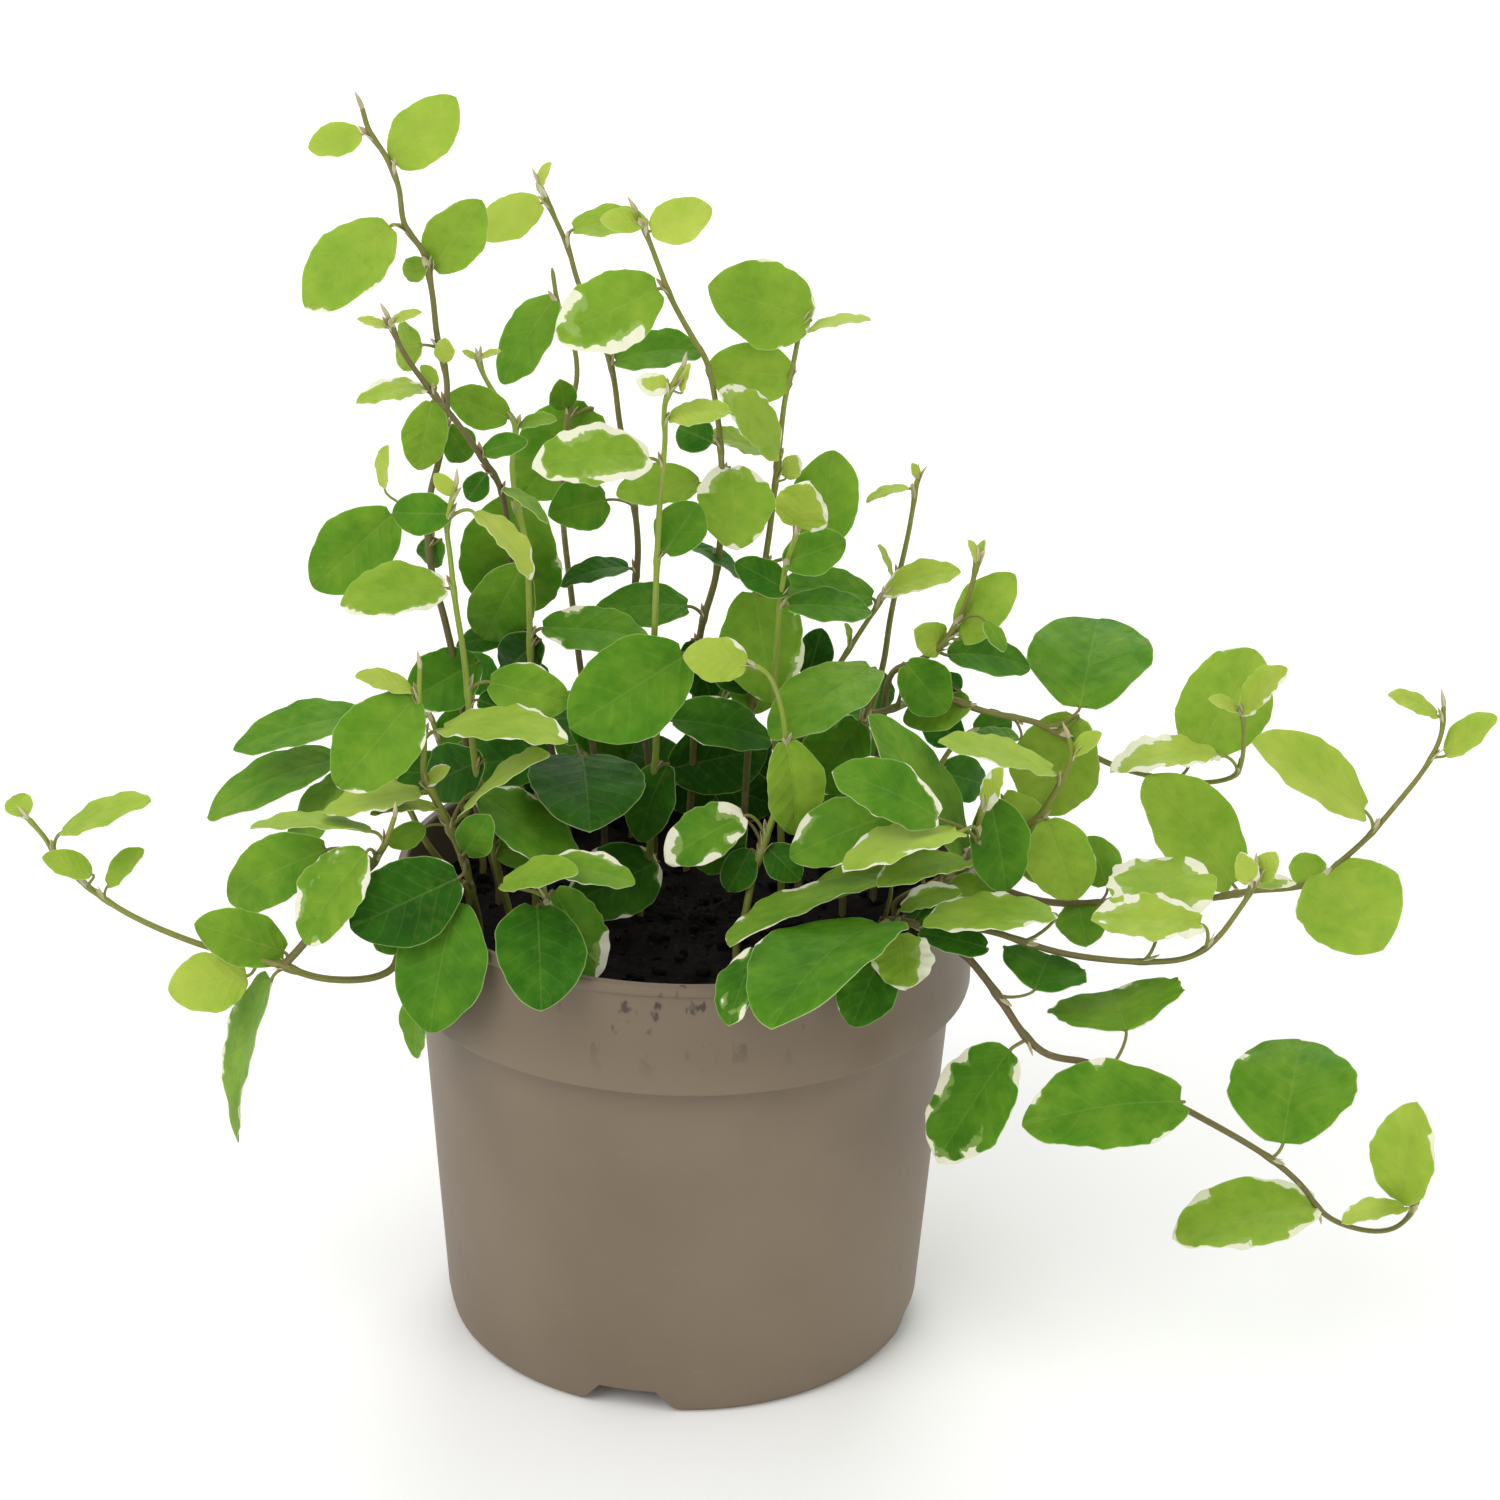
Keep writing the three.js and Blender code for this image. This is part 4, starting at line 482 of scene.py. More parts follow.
def facesOutward(piece):
    pick(piece)
    bpy.ops.object.mode_set(mode="EDIT")
    bpy.ops.mesh.select_all(action="SELECT")
    bpy.ops.mesh.remove_doubles(threshold=0.00001)
    bpy.ops.mesh.normals_make_consistent(inside=False)
    bpy.ops.object.mode_set(mode="OBJECT")


def smooth(piece, degrees):
    pick(piece)
    bpy.ops.object.shade_smooth_by_angle(angle=math.radians(degrees))


def corners(piece):
    places = np.empty(len(piece.data.vertices) * 3)
    piece.data.vertices.foreach_get("co", places)
    return places.reshape(-1, 3)


def setCorners(piece, places):
    piece.data.vertices.foreach_set("co", np.asarray(places, dtype=np.float32).ravel())
    piece.data.update()


def newPiece(name, mesh):
    piece = bpy.data.objects.new(name, mesh)
    bpy.context.collection.objects.link(piece)
    return piece


def meshPiece(name, places, edges, faces):  # from places in millimetres
    mesh = bpy.data.meshes.new(name)
    mesh.from_pydata((np.array(places) * metre).tolist(), edges, faces)
    return newPiece(name, mesh)


def copyOf(blank, places):  # with a mesh of its own, whose corners are put in new places
    piece = newPiece(blank.name, blank.data.copy())
    setCorners(piece, places)
    return piece


def discard(*pieces):
    for piece in pieces:
        bpy.data.objects.remove(piece, do_unlink=True)


def joined(pieces, name):
    deselectAll()
    for piece in pieces:
        piece.select_set(True)
    bpy.context.view_layer.objects.active = pieces[0]
    bpy.ops.object.join()
    pieces[0].name = pieces[0].data.name = name
    return pieces[0]


def standsFor(piece, node):
    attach(piece, "root")
    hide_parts(node)


def paint(code):  # a colour written as on screen, in the renderer's own light
    parts = [int(code[k:k + 2], 16) / 255 for k in (0, 2, 4)]
    return [part / 12.92 if part <= 0.04045 else ((part + 0.055) / 1.055) ** 2.4 for part in parts] + [1.0]


class Tone:  # a shader socket that takes part in sums
    def __init__(self, tree, socket=None):
        self.tree, self.socket = tree, socket

    def make(self, kind, settings, sockets, output=0):
        node = self.tree.nodes.new("ShaderNode" + kind)
        for name, value in settings.items():
            if name == "stops":
                ramp = node.color_ramp.elements
                while len(ramp) < len(value):
                    ramp.new(0.5)
                for stop, (place, code) in zip(ramp, value):
                    stop.position, stop.color = place, paint(code)
            else:
                setattr(node, name, value)
        for name, value in sockets.items():
            if isinstance(value, Tone):
                self.tree.links.new(value.socket, node.inputs[name])
            else:
                node.inputs[name].default_value = value
        return Tone(self.tree, node.outputs[output])

    def maths(self, operation, *values):
        return self.make("Math", {"operation": operation}, dict(enumerate(values)))

    def __add__(self, other):
        return self.maths("ADD", self, other)

    def __sub__(self, other):
        return self.maths("SUBTRACT", self, other)

    def __rsub__(self, other):
        return self.maths("SUBTRACT", other, self)

    def __mul__(self, other):
        return self.maths("MULTIPLY", self, other)

    __radd__, __rmul__ = __add__, __mul__

    def __abs__(self):
        return self.maths("ABSOLUTE", self)

    def between(self, low, high):  # 0 below low, 1 above high, eased; low may be the larger
        sockets = {"Value": self, "From Min": low, "From Max": high}
        return self.make("MapRange", {"interpolation_type": "SMOOTHSTEP"}, sockets)

    def ramped(self, stops):  # the colour that this number stands for
        return self.make("ValToRGB", {"stops": stops}, {0: self})

    def dyed(self, code, factor, base=None):  # this colour, or a plain base, with another laid over it
        low = paint(base) if base else self
        return self.make("Mix", {"data_type": "RGBA"}, {0: factor, 6: low, 7: paint(code)}, 2)

    def stretched(self, *scale):
        return self.make("VectorMath", {"operation": "MULTIPLY"}, {0: self, 1: scale})

    def noise(self, scale, detail=2.0, roughness=0.5):
        sockets = {"Vector": self, "Scale": scale, "Detail": detail, "Roughness": roughness}
        return self.make("TexNoise", {}, sockets)

    def split(self):
        parts = self.make("SeparateXYZ", {}, {0: self}).socket.node
        return [Tone(self.tree, socket) for socket in parts.outputs]

    def noted(self, name, output="Vector"):  # what the piece's corners hold under a name
        return self.make("Attribute", {"attribute_name": name}, {}, output)

    def places(self):
        return self.make("TexCoord", {}, {}, "Object")

    def bump(self, strength, distance):
        return self.make("Bump", {}, {"Height": self, "Strength": strength, "Distance": distance}, "Normal")

    def shaderInputs(self):
        return self.tree.nodes["Principled BSDF"].inputs

    def wire(self, tones):  # into the material's shader
        for name, tone in tones.items():
            self.tree.links.new(tone.socket, self.shaderInputs()[name])


def finish(name, constants):  # a new material, and its shader's tree
    material = bpy.data.materials.new(name)
    material.use_nodes = True
    tone = Tone(material.node_tree)
    for socket, value in constants.items():
        tone.shaderInputs()[socket].default_value = value
    return material, tone


# The ages run from young lime to old dark green; the darkest stops are partly painted shade, for leaves deep
# in the plant.
leafLook = {
    "ages": [(0.0, "b2bd52"), (0.22, "9ab040"), (0.45, "7a9c2e"), (0.68, "4e7e1a"), (0.85, "2f6210"),
             (1.0, "1c4607")],
    "dark": "285814", "light": "90aa3c", "vein": "aec670", "paleGreen": "9fb468", "rim": "a6bd5e",
    "cream": "deddc4", "under": "88a858", "creamReach": 2.6, "veinsPerLeaf": 6.4, "veinSweep": 1.7,
    "roughness": 0.48}


def makeLeafMaterial():
    look = leafLook
    material, tone = finish("fig_leaf", {"Specular IOR Level": 0.08, "Subsurface Weight": 0.22,
                                         "Subsurface Radius": (0.5, 0.9, 0.25), "Subsurface Scale": 0.001})
    place = tone.noted("bladePlace")  # millimetres along and across the blade, and its own number
    s, t, under = tone.noted("bladeShare").split()
    age, cream, seed = tone.noted("bladeNature").split()
    gap = tone.noted("edgeGap", "Fac")
    broad, dapple = place.noise(0.085), place.noise(0.26)
    fine, jag = place.noise(0.55, 3.0), place.noise(0.55)
    age = age + (broad - 0.5) * 0.34 + (dapple - 0.5) * 0.2 + (seed - 0.5) * 0.12
    body = age.ramped(look["ages"]).dyed(look["dark"], fine.between(0.45, 0.75) * age * 0.25)
    body = body.dyed(look["light"], fine.between(0.5, 0.25) * age * 0.08)
    phase = s * look["veinsPerLeaf"] - abs(t) * look["veinSweep"] + t.maths("GREATER_THAN", t, 0.0) * 0.5
    phase = phase + (broad - 0.5) * 0.5
    toVein = abs(phase.maths("FRACT", phase) - 0.5)
    midrib = abs(place.split()[1]).between(0.3, 0.1) * (1 - s * 0.55)
    body = body.dyed(look["vein"], toVein.between(0.085, 0.02) * (1 - abs(t) * 0.55) * 0.05)
    body = body.dyed(look["vein"], midrib * 0.11)
    bare = 0.6 - 0.18 * cream  # where the margin turns from green to cream
    clump = place.noise(0.12, 1.5).between(bare, bare + 0.12) * cream.between(0.08, 0.22)
    reach = clump * (0.3 + cream * look["creamReach"] + (jag - 0.5) * 3.0)
    creamy = (reach - gap).between(-0.1, 0.14)
    body = body.dyed(look["paleGreen"], (reach * 1.6 + 0.1 - gap).between(-0.5, 0.6) * clump * 0.5)
    body = body.dyed(look["rim"], gap.between(0.3, 0.06) * 0.3).dyed(look["cream"], creamy)
    body = body.dyed(look["under"], under * 0.42 * (1 - creamy * 0.8))
    net = place.make("TexVoronoi", {"feature": "DISTANCE_TO_EDGE"}, {"Vector": place, "Scale": 0.95})
    height = toVein.between(0.0, 0.35) * 0.25 + net.between(0.0, 0.5) * 0.14 + fine * 0.3
    height = height + dapple * 1.4 - midrib * 0.3
    roughness = look["roughness"] + fine * 0.16 + under * 0.2
    tone.wire({"Base Color": body, "Roughness": roughness, "Normal": height.bump(0.45, 0.0004)})
    return material


stemLook = {"ages": [(0.0, "8a9e3a"), (0.3, "7e8236"), (0.6, "6e6838"), (1.0, "5c4c34")],
            "streak": "403c1c", "blotch": "a8a27c", "roughness": 0.6}


def makeStemMaterial():
    look = stemLook
    material, tone = finish("fig_stem", {"Roughness": look["roughness"], "Specular IOR Level": 0.35})
    place = tone.noted("bladePlace")
    streak, blotch = place.stretched(0.12, 1.6, 1.0).noise(1.0, 3.0), place.noise(0.35)
    age = tone.noted("bladeNature").split()[0] + (blotch - 0.5) * 0.35
    body = age.ramped(look["ages"]).dyed(look["streak"], streak.between(0.5, 0.75) * 0.35)
    body = body.dyed(look["blotch"], blotch.between(0.56, 0.8) * 0.35)
    tone.wire({"Base Color": body, "Normal": (streak * 0.6 + blotch * 0.4).bump(0.5, 0.0003)})
    return material


scaleLook = {"green": "a8a474", "pale": "cfc8a8", "brown": "866a4e", "roughness": 0.6}


def makeScaleMaterial():
    look = scaleLook
    material, tone = finish("fig_scale", {"Roughness": look["roughness"], "Subsurface Weight": 0.2,
                                          "Subsurface Scale": 0.001})
    streak = tone.noted("bladePlace").stretched(0.3, 2.2, 1.0).noise(1.0, 3.0)
    body = tone.dyed(look["pale"], streak.between(0.35, 0.65), look["green"])
    body = body.dyed(look["brown"], tone.noted("bladeNature").split()[0] * 0.6)
    tone.wire({"Base Color": body, "Normal": streak.bump(0.4, 0.0002)})
    return material


leafMaterial, stemMaterial, scaleMaterial = makeLeafMaterial(), makeStemMaterial(), makeScaleMaterial()
report("the leaf, stem and scale finishes are mixed")

bladeShape = {"large": (18, 28), "small": (8, 14), "smallLeaf": 11.0, "middleHalf": 0.17, "edgeHalf": 0.07,
              "ribHigh": 0.34, "ribWide": 0.42, "groove": 0.1, "grooveWide": 0.35, "waves": 0.45,
              "lobe": 0.05, "lobeReach": 0.11, "scallop": 0.012, "creamScallop": 0.022, "crinkle": 0.1,
              "creamCrinkle": 0.22, "quilt": 0.0825, "uneven": 0.04}


def bladeBlank(name, columns, rows):  # a flat thin sheet, which every leaf of a size is a copy of
    deselectAll()
    bpy.ops.mesh.primitive_grid_add(x_subdivisions=columns, y_subdivisions=rows, size=2)
    blank = bpy.context.object
    blank.name = blank.data.name = name
    finishWith(blank, "SOLIDIFY", thickness=0.02, offset=0)
    return blank


def noteAll(piece, material, place, nature, share=(0, 0, 0), gap=5.0):  # what the finishes read
    mesh = piece.data
    count = len(mesh.vertices)
    for name, values in (("bladePlace", place), ("bladeShare", share), ("bladeNature", nature)):
        rows = np.stack([np.broadcast_to(value, count) for value in values], axis=-1)
        entry = mesh.attributes.new(name, "FLOAT_VECTOR", "POINT")
        entry.data.foreach_set("vector", rows.astype(np.float32).ravel())
    entry = mesh.attributes.new("edgeGap", "FLOAT", "POINT")
    entry.data.foreach_set("value", np.broadcast_to(gap, count).astype(np.float32))
    mesh.materials.append(material)


def growBlade(blank, leaf, number):
    shape = bladeShape
    flatAcross, flatAlong, flatUp = corners(blank).T
    t = np.sign(flatAcross) * (0.5 * flatAcross ** 2 + 0.5 * np.abs(flatAcross))
    right, side = t > 0, np.abs(t)
    share = (flatAlong + 1) / 2
    s = 0.004 + 0.9945 * (0.55 * (0.5 - 0.5 * np.cos(math.pi * share)) + 0.45 * share)
    upper = np.sign(flatUp)
    half = leaf.width / 2 * outline(s)
    turn = leaf.phase
    size = min(1.0, leaf.width / 14)
    edge = side ** 3
    torn = min(1.0, leaf.cream + 0.15 * (1 - leaf.age))  # cream margins grow slower and pucker
    scallop = np.sin(turn * 3 + 19 * s + 2 * right) + 0.6 * np.sin(turn * 5 + 43 * s)
    wobble = 1 + (shape["scallop"] + shape["creamScallop"] * torn) * edge * scallop
    wobble = wobble + shape["uneven"] * edge * np.sin(turn * 11 + 9 * s + 2.6 * right)
    across = t * half * wobble
    lobe = shape["lobe"] * (0.4 + 0.6 * math.sin(turn * 7) ** 2)
    back = lobe * leaf.length * side * np.exp(-(s / shape["lobeReach"]) ** 2) * np.minimum(1, s / 0.02)
    soft = leaf.fold * (np.sqrt(across ** 2 + 0.16) - 0.4 - np.abs(across))
    crinkle = (shape["crinkle"] + shape["creamCrinkle"] * torn) * size * edge
    crinkle = crinkle * np.sin(turn * 2 + 37 * s + 1.9 * right)
    veins = s * leafLook["veinsPerLeaf"] - side * leafLook["veinSweep"] + 0.5 * right
    quilt = shape["quilt"] * size * np.cos(2 * math.pi * veins) * side * (1 - side ** 4)
    thick = shape["middleHalf"] + (shape["edgeHalf"] - shape["middleHalf"]) * side ** 2
    rib = shape["ribHigh"] * (1 - 0.8 * s) * np.exp(-(across / shape["ribWide"]) ** 2) * size
    groove = shape["groove"] * np.exp(-(across / shape["grooveWide"]) ** 2) * size
    off = upper * thick - (upper < 0) * rib - (upper > 0) * groove
    lift = rise(leaf, s, t * half, shape["waves"]) + soft + crinkle - quilt + off
    places = (leaf.foot + leaf.along * (s * leaf.length - back)[:, None]
              + leaf.side * across[:, None] + leaf.face * lift[:, None])
    piece = copyOf(blank, places * metre)
    noteAll(piece, leafMaterial, (s * leaf.length, across, number * 7.3),
            (leaf.age, leaf.cream, (number * 0.618) % 1), (s, t, (1 - upper) / 2),
            np.minimum((1 - side) * half, (1 - s) * leaf.length * 0.9))
    return piece


def sweep(name, run, radii, sides, material, number, age):  # a round stem along a run of points
    run = np.asarray(run, dtype=float)
    count = len(run)
    ways = np.gradient(run, axis=0)
    ways /= np.maximum(norm(ways, axis=1), 1e-9)[:, None]
    normal = unit(np.cross(ways[0], (0.31, 0.87, 0.2)))
    angles = np.arange(sides) * 2 * math.pi / sides
    rings = []
    for way, point, radius in zip(ways, run, radii):
        normal = unit(normal - way * np.dot(normal, way))
        other = np.cross(way, normal)
        rings.append(point + radius * (np.cos(angles)[:, None] * normal + np.sin(angles)[:, None] * other))
    faces = []
    for low in range(0, (count - 1) * sides, sides):
        for k in range(sides):
            onward = (k + 1) % sides
            faces.append((low + k, low + onward, low + onward + sides, low + k + sides))
    faces += [tuple(reversed(range(sides))), tuple((count - 1) * sides + k for k in range(sides))]
    piece = meshPiece(name, np.vstack(rings), [], faces)
    noteAll(piece, material, (np.repeat(lengthsAlong(run), sides), np.tile(angles, count) * 0.8, number),
            (np.repeat(age, sides), 0, (number * 0.37) % 1))
    return piece


def bent(start, end, leaving, arriving, count):  # a smooth line that leaves and arrives in set directions
    share = np.linspace(0, 1, count)[:, None]
    a, b = start + leaving, end - arriving
    return ((1 - share) ** 3 * start + 3 * (1 - share) ** 2 * share * a
            + 3 * (1 - share) * share ** 2 * b + share ** 3 * end)


stemShape = {"rootRadius": 0.84, "tipRadius": 0.5, "knuckle": 0.26, "sides": 8, "brown": 0.45,
             "budAge": 0.32, "budLength": 2.8, "budRadius": 0.5, "budSides": 7}
stemBrown = {"front_upright": 0.0, "front_left_upright": 0.08, "twin_tip": 0.1, "front_arc_shoot": 0.12,
             "young_round": 0.1, "brown_arch": 0.85, "tall_left": 0.6, "tall_middle": 0.6,
             "slender_back": 0.55, "pale_pair_right": 0.55, "trailing_right_low": 0.7,
             "trailing_right_middle": 0.6, "trailing_right_far": 0.55, "trailing_left": 0.4,
             "bud_shoot_left": 0.3}
stalkShape = {"baseRadius": 0.55, "radius": 0.36, "endRadius": 0.12, "sides": 6, "steps": 10}
scaleShape = {"grid": (3, 5), "length": 3.1, "width": 1.6}


def growStalk(leaf, run, number):
    leaf.joint, index = nearestOn(run, leaf.joint)
    leaf.stemWay = unit(run[min(index + 1, len(run) - 1)] - run[index])
    toFoot = leaf.foot - leaf.joint
    length = norm(toFoot)
    line = bent(leaf.joint, leaf.foot - leaf.face * 0.12, leaf.stemWay * 0.22 * length + toFoot * 0.15,
                leaf.along * min(0.33 * length, 3.0), stalkShape["steps"] - 1)
    into = leaf.foot + leaf.along * min(1.6, 0.1 * leaf.length) - leaf.face * 0.22
    swell = np.exp(-np.arange(stalkShape["steps"]) / 1.6)
    radii = stalkShape["radius"] + (stalkShape["baseRadius"] - stalkShape["radius"]) * swell
    radii[-1] = stalkShape["endRadius"]
    radii *= min(1.0, 0.55 + leaf.length / 40)
    age = np.full(len(radii), 0.55 * leaf.age + 0.1)
    line = np.vstack([line, into])
    return sweep("stalk", line, radii, stalkShape["sides"], stemMaterial, number + 0.5, age)


def growStem(stem, number):
    lengths = lengthsAlong(stem.run)
    share = lengths / lengths[-1]
    radii = stemShape["rootRadius"] + (stemShape["tipRadius"] - stemShape["rootRadius"]) * share ** 1.5
    for leaf in stem.blades:
        gap = norm(stem.run - leaf.joint, axis=1)
        radii += stemShape["knuckle"] * np.exp(-(gap / 1.3) ** 2) * (1 - 0.5 * share)
    radii[-1] = 0.25
    brown = stemBrown.get(stem.name, stemShape["brown"])
    age = np.clip(brown + 0.25 * (1 - share) - 0.25 * share ** 2, 0, 1)
    return sweep("stem", stem.run, radii, stemShape["sides"], stemMaterial, number, age)


def growScale(blank, leaf, turn, number):  # a papery scale beside a joint
    way, outward = leaf.stemWay, unit(leaf.foot - leaf.joint)
    outward = outward + np.cross(way, outward) * turn
    size = 0.8 + 0.4 * math.sin(number * 2.1 + turn) ** 2
    length, width = scaleShape["length"] * size, scaleShape["width"] * size
    flatAcross, flatAlong, flatUp = corners(blank).T
    side = unit(np.cross(way, outward))
    outward = unit(np.cross(side, way))
    s = (flatAlong + 1) / 2
    across = flatAcross * (width / 2 * np.sqrt(np.maximum(s, 0.12)) * (1 - s) ** 0.7 / 0.62 + 0.03)
    lift = 0.5 + 0.9 * s ** 1.6 * length * 0.35 - 0.4 * (across / width) ** 2 * width + flatUp * 6
    places = leaf.joint + way * (s * length)[:, None] + side * across[:, None] + outward * lift[:, None]
    piece = copyOf(blank, places * metre)
    number += turn
    noteAll(piece, scaleMaterial, (s * length, across, number), (0.5 * leaf.age, 0, (number * 0.37) % 1))
    return piece


def growBud(stem, number):
    tip = stem.run[-1]
    way = unit(tip - stem.run[-4])
    aside = unit(np.cross(way, (0.4, 0.3, 0.85)))
    line = bent(tip - way * 1.2, tip + way * stemShape["budLength"] + aside * 0.8, way * 1.6, way * 1.2, 8)
    radii = stemShape["budRadius"] * np.array([0.75, 1.0, 1.05, 0.95, 0.78, 0.55, 0.3, 0.06])
    return sweep("bud", line, radii, stemShape["budSides"], scaleMaterial, number, np.linspace(0.5, 0.1, 8))


largeBlank = bladeBlank("blade_blank", *bladeShape["large"])
smallBlank = bladeBlank("small_blade_blank", *bladeShape["small"])
scaleBlank = bladeBlank("scale_blank", *scaleShape["grid"])

number = 0
stemPieces = {}
for stem in stems.values():
    parts = []
    for leaf in stem.blades:
        number += 1
        blank = smallBlank if leaf.length < bladeShape["smallLeaf"] else largeBlank
        parts += [growStalk(leaf, stem.run, number), growBlade(blank, leaf, number)]
        parts += [growScale(scaleBlank, leaf, turn, number) for turn in (0.7, -0.7)]
    parts.insert(0, growStem(stem, number + 0.25))
    last = min(stem.blades, key=lambda leaf: norm(leaf.joint - stem.run[-1]))
    if last.age < stemShape["budAge"]:
        parts.append(growBud(stem, number + 0.75))
    stemPieces.setdefault(stem.node, []).extend(parts)
for name, parts in stemPieces.items():
    piece = joined(parts, name + "_fine")
    smooth(piece, 48)
    standsFor(piece, name)
discard(largeBlank, smallBlank, scaleBlank)
report("%d stems are grown" % len(stemPieces))

bandFoot = potShape["height"] - potShape["bandHeight"]
shoulder = potShape["rim"] - potShape["bandStep"]


def spun(name, profile, sides):  # a line of [radius, height] turned once round the pot's axis
    places = [(radius, 0, height) for radius, height in profile]
    piece = meshPiece(name, places, [(k, k + 1) for k in range(len(places) - 1)], [])
    pick(piece)
    bpy.ops.object.mode_set(mode="EDIT")
    bpy.ops.mesh.select_all(action="SELECT")
    bpy.ops.mesh.spin(steps=sides, angle=2 * math.pi, center=(0, 0, 0), axis=(0, 0, 1))
    bpy.ops.object.mode_set(mode="OBJECT")
    facesOutward(piece)
    return piece


def cutBy(piece, tool, operation):
    finishWith(piece, "BOOLEAN", operation=operation, object=tool, solver="EXACT")


def channelAngle(index, more=0):
    return math.radians(potShape["firstAngle"] + more + 360 * index / potShape["channels"])


def channelBar(index, grow):  # a raised channel's room under the floor
    shape = potShape
    low = (shape["channelLow"] / 2 + grow) * metre
    high = (shape["channelHigh"] / 2 + grow) * metre
    top = (shape["channelHeight"] + grow) * metre
    near, far = (shape["channelStart"] - grow) * metre, (shape["base"] + 2) * metre
    slope = (low - high) / top
    deselectAll()
    bpy.ops.mesh.primitive_cube_add(size=1)
    bar = bpy.context.object
    places = []
    for x, y, z in corners(bar):
        height = top if z > 0 else -metre
        places.append(((low - slope * height) * (1 if x > 0 else -1), -(far if y < 0 else near), height))
    setCorners(bar, places)
    bar.rotation_euler[2] = channelAngle(index)
    settlePlace(bar)
    return bar


def drainPin(index):
    shape = potShape
    angle = channelAngle(index, -90)
    place = (shape["drainCircle"] * math.cos(angle) * metre, shape["drainCircle"] * math.sin(angle) * metre,
             (shape["channelHeight"] + shape["wall"] / 2) * metre)
    deselectAll()
    bpy.ops.mesh.primitive_cylinder_add(vertices=shape["drainSides"], radius=shape["drain"] * metre,
                                        depth=3 * shape["wall"] * metre, location=place)
    pin = bpy.context.object
    settlePlace(pin)
    return pin


def makePot():
    shape = potShape
    top, rim, lip = shape["height"], shape["rim"], shape["lip"]
    base, foot, wall = shape["base"], shape["foot"], shape["wall"]
    outer = [(0, 0), (foot - 0.6, 0), (foot, 0.15), (foot + 0.6, 0.7), (base - 0.3, 1.7), (base + 0.1, 3.2),
             (base + 0.6, 6), shape["middle"], (shoulder - 0.3, bandFoot - 3), (shoulder, bandFoot - 0.9),
             (shoulder + 0.5, bandFoot - 0.3), (rim - 0.6, bandFoot + 0.1), (rim - 0.05, bandFoot + 0.5),
             (rim + 0.15, bandFoot + 1.2), (rim + 0.1, bandFoot + 8), (rim, top - 3.2),
             (rim + 0.05, top - 2.7), (lip - 0.25, top - 2.3), (lip, top - 1.8), (lip, top - 0.9),
             (lip - 0.2, top - 0.3), (lip - 0.7, top)]
    inner = [(rim - wall + 0.5, top - 0.05), (rim - wall + 0.1, top - 0.5), (rim - wall, top - 1.2),
             (rim - wall, bandFoot + 2), (shoulder - wall, bandFoot), (base - wall, 3.4),
             (base - wall - 1.4, shape["floor"]), (0, shape["floor"])]
    pot = spun("pot_fine", outer + inner, shape["sides"])
    solid = spun("pot_solid", outer + [(0, top)], shape["sides"])
    for index in range(shape["channels"]):
        ridge = channelBar(index, wall)
        cutBy(ridge, solid, "INTERSECT")
        cutBy(pot, ridge, "UNION")
        discard(ridge)
    for index in range(shape["channels"]):
        for tool in (channelBar(index, 0), drainPin(index)):
            cutBy(pot, tool, "DIFFERENCE")
            discard(tool)
    discard(solid)
    facesOutward(pot)
    smooth(pot, 32)
    return pot


# The band colour is painted shade: the upper band of the pot is darkened where the leaves above shade it.
potLook = {"brown": "6f604e", "cloud": "786956", "scuff": "887969", "band": "5a4c3a", "speck": "2e241c",
           # inside is painted shade on the inner wall above the soil.
           "inside": "4c4036", "roughness": 0.46}


def makePotMaterial():
    look = potLook
    material, tone = finish("pot_plastic", {"Specular IOR Level": 0.42})
    place = tone.places()
    x, y, z = place.split()
    cloud, grain = place.noise(22.0, 3.0), place.noise(900.0)
    scuff = place.stretched(1.0, 1.0, 6.0).noise(160.0, 4.0, 0.6)
    specks = place.stretched(1.0, 1.0, 0.55).noise(190.0, 3.0, 0.62)
    body = tone.dyed(look["cloud"], cloud.between(0.3, 0.7), look["brown"])
    body = body.dyed(look["scuff"], scuff.between(0.62, 0.8) * 0.3)
    # painted shade: the pot is darkened from the band's foot up to the rim, where the leaves above shade it
    body = body.dyed(look["band"], z.between(0.076, 0.09) * 0.32)
    nearRim = z.between(0.080, 0.100) * y.between(0.0, -0.03)  # soil has splashed the front of the rim
    nearRim = nearRim * x.between(0.045, 0.0) * x.between(-0.035, -0.01)
    body = body.dyed(look["speck"], specks.between(0.6, 0.66) * nearRim * 0.85)
    # painted shade: the inner wall above the soil is darkened, as the recess lies in shade
    inside = (x * x + y * y).between(0.0590 ** 2, 0.0583 ** 2) * z.between(0.07, 0.09)
    roughness = look["roughness"] + grain * 0.12 + scuff.between(0.6, 0.8) * 0.12
    tone.wire({"Base Color": body.dyed(look["inside"], inside * 0.6), "Roughness": roughness,
               "Normal": (grain * 0.5 + cloud * 0.5).bump(0.12, 0.0003)})
    return material


pot = makePot()
pot.data.materials.append(makePotMaterial())
standsFor(pot, "pot")
report("the pot is turned and its foot is cut")

soilShape = {"crumb": 0.75, "rings": 46, "sides": 120, "crumbs": 420, "crumbRing": 57,
             "leastCrumb": 0.5, "crumbSpread": 1.5, "round": 6.2832}


def lumps(x, y):
    wave = np.sin(0.31 * x + 1.1) * np.cos(0.27 * y - 0.4) + 0.5 * np.sin(0.71 * x - 0.52 * y)
    return stalk["soilLump"] * wave / 1.5


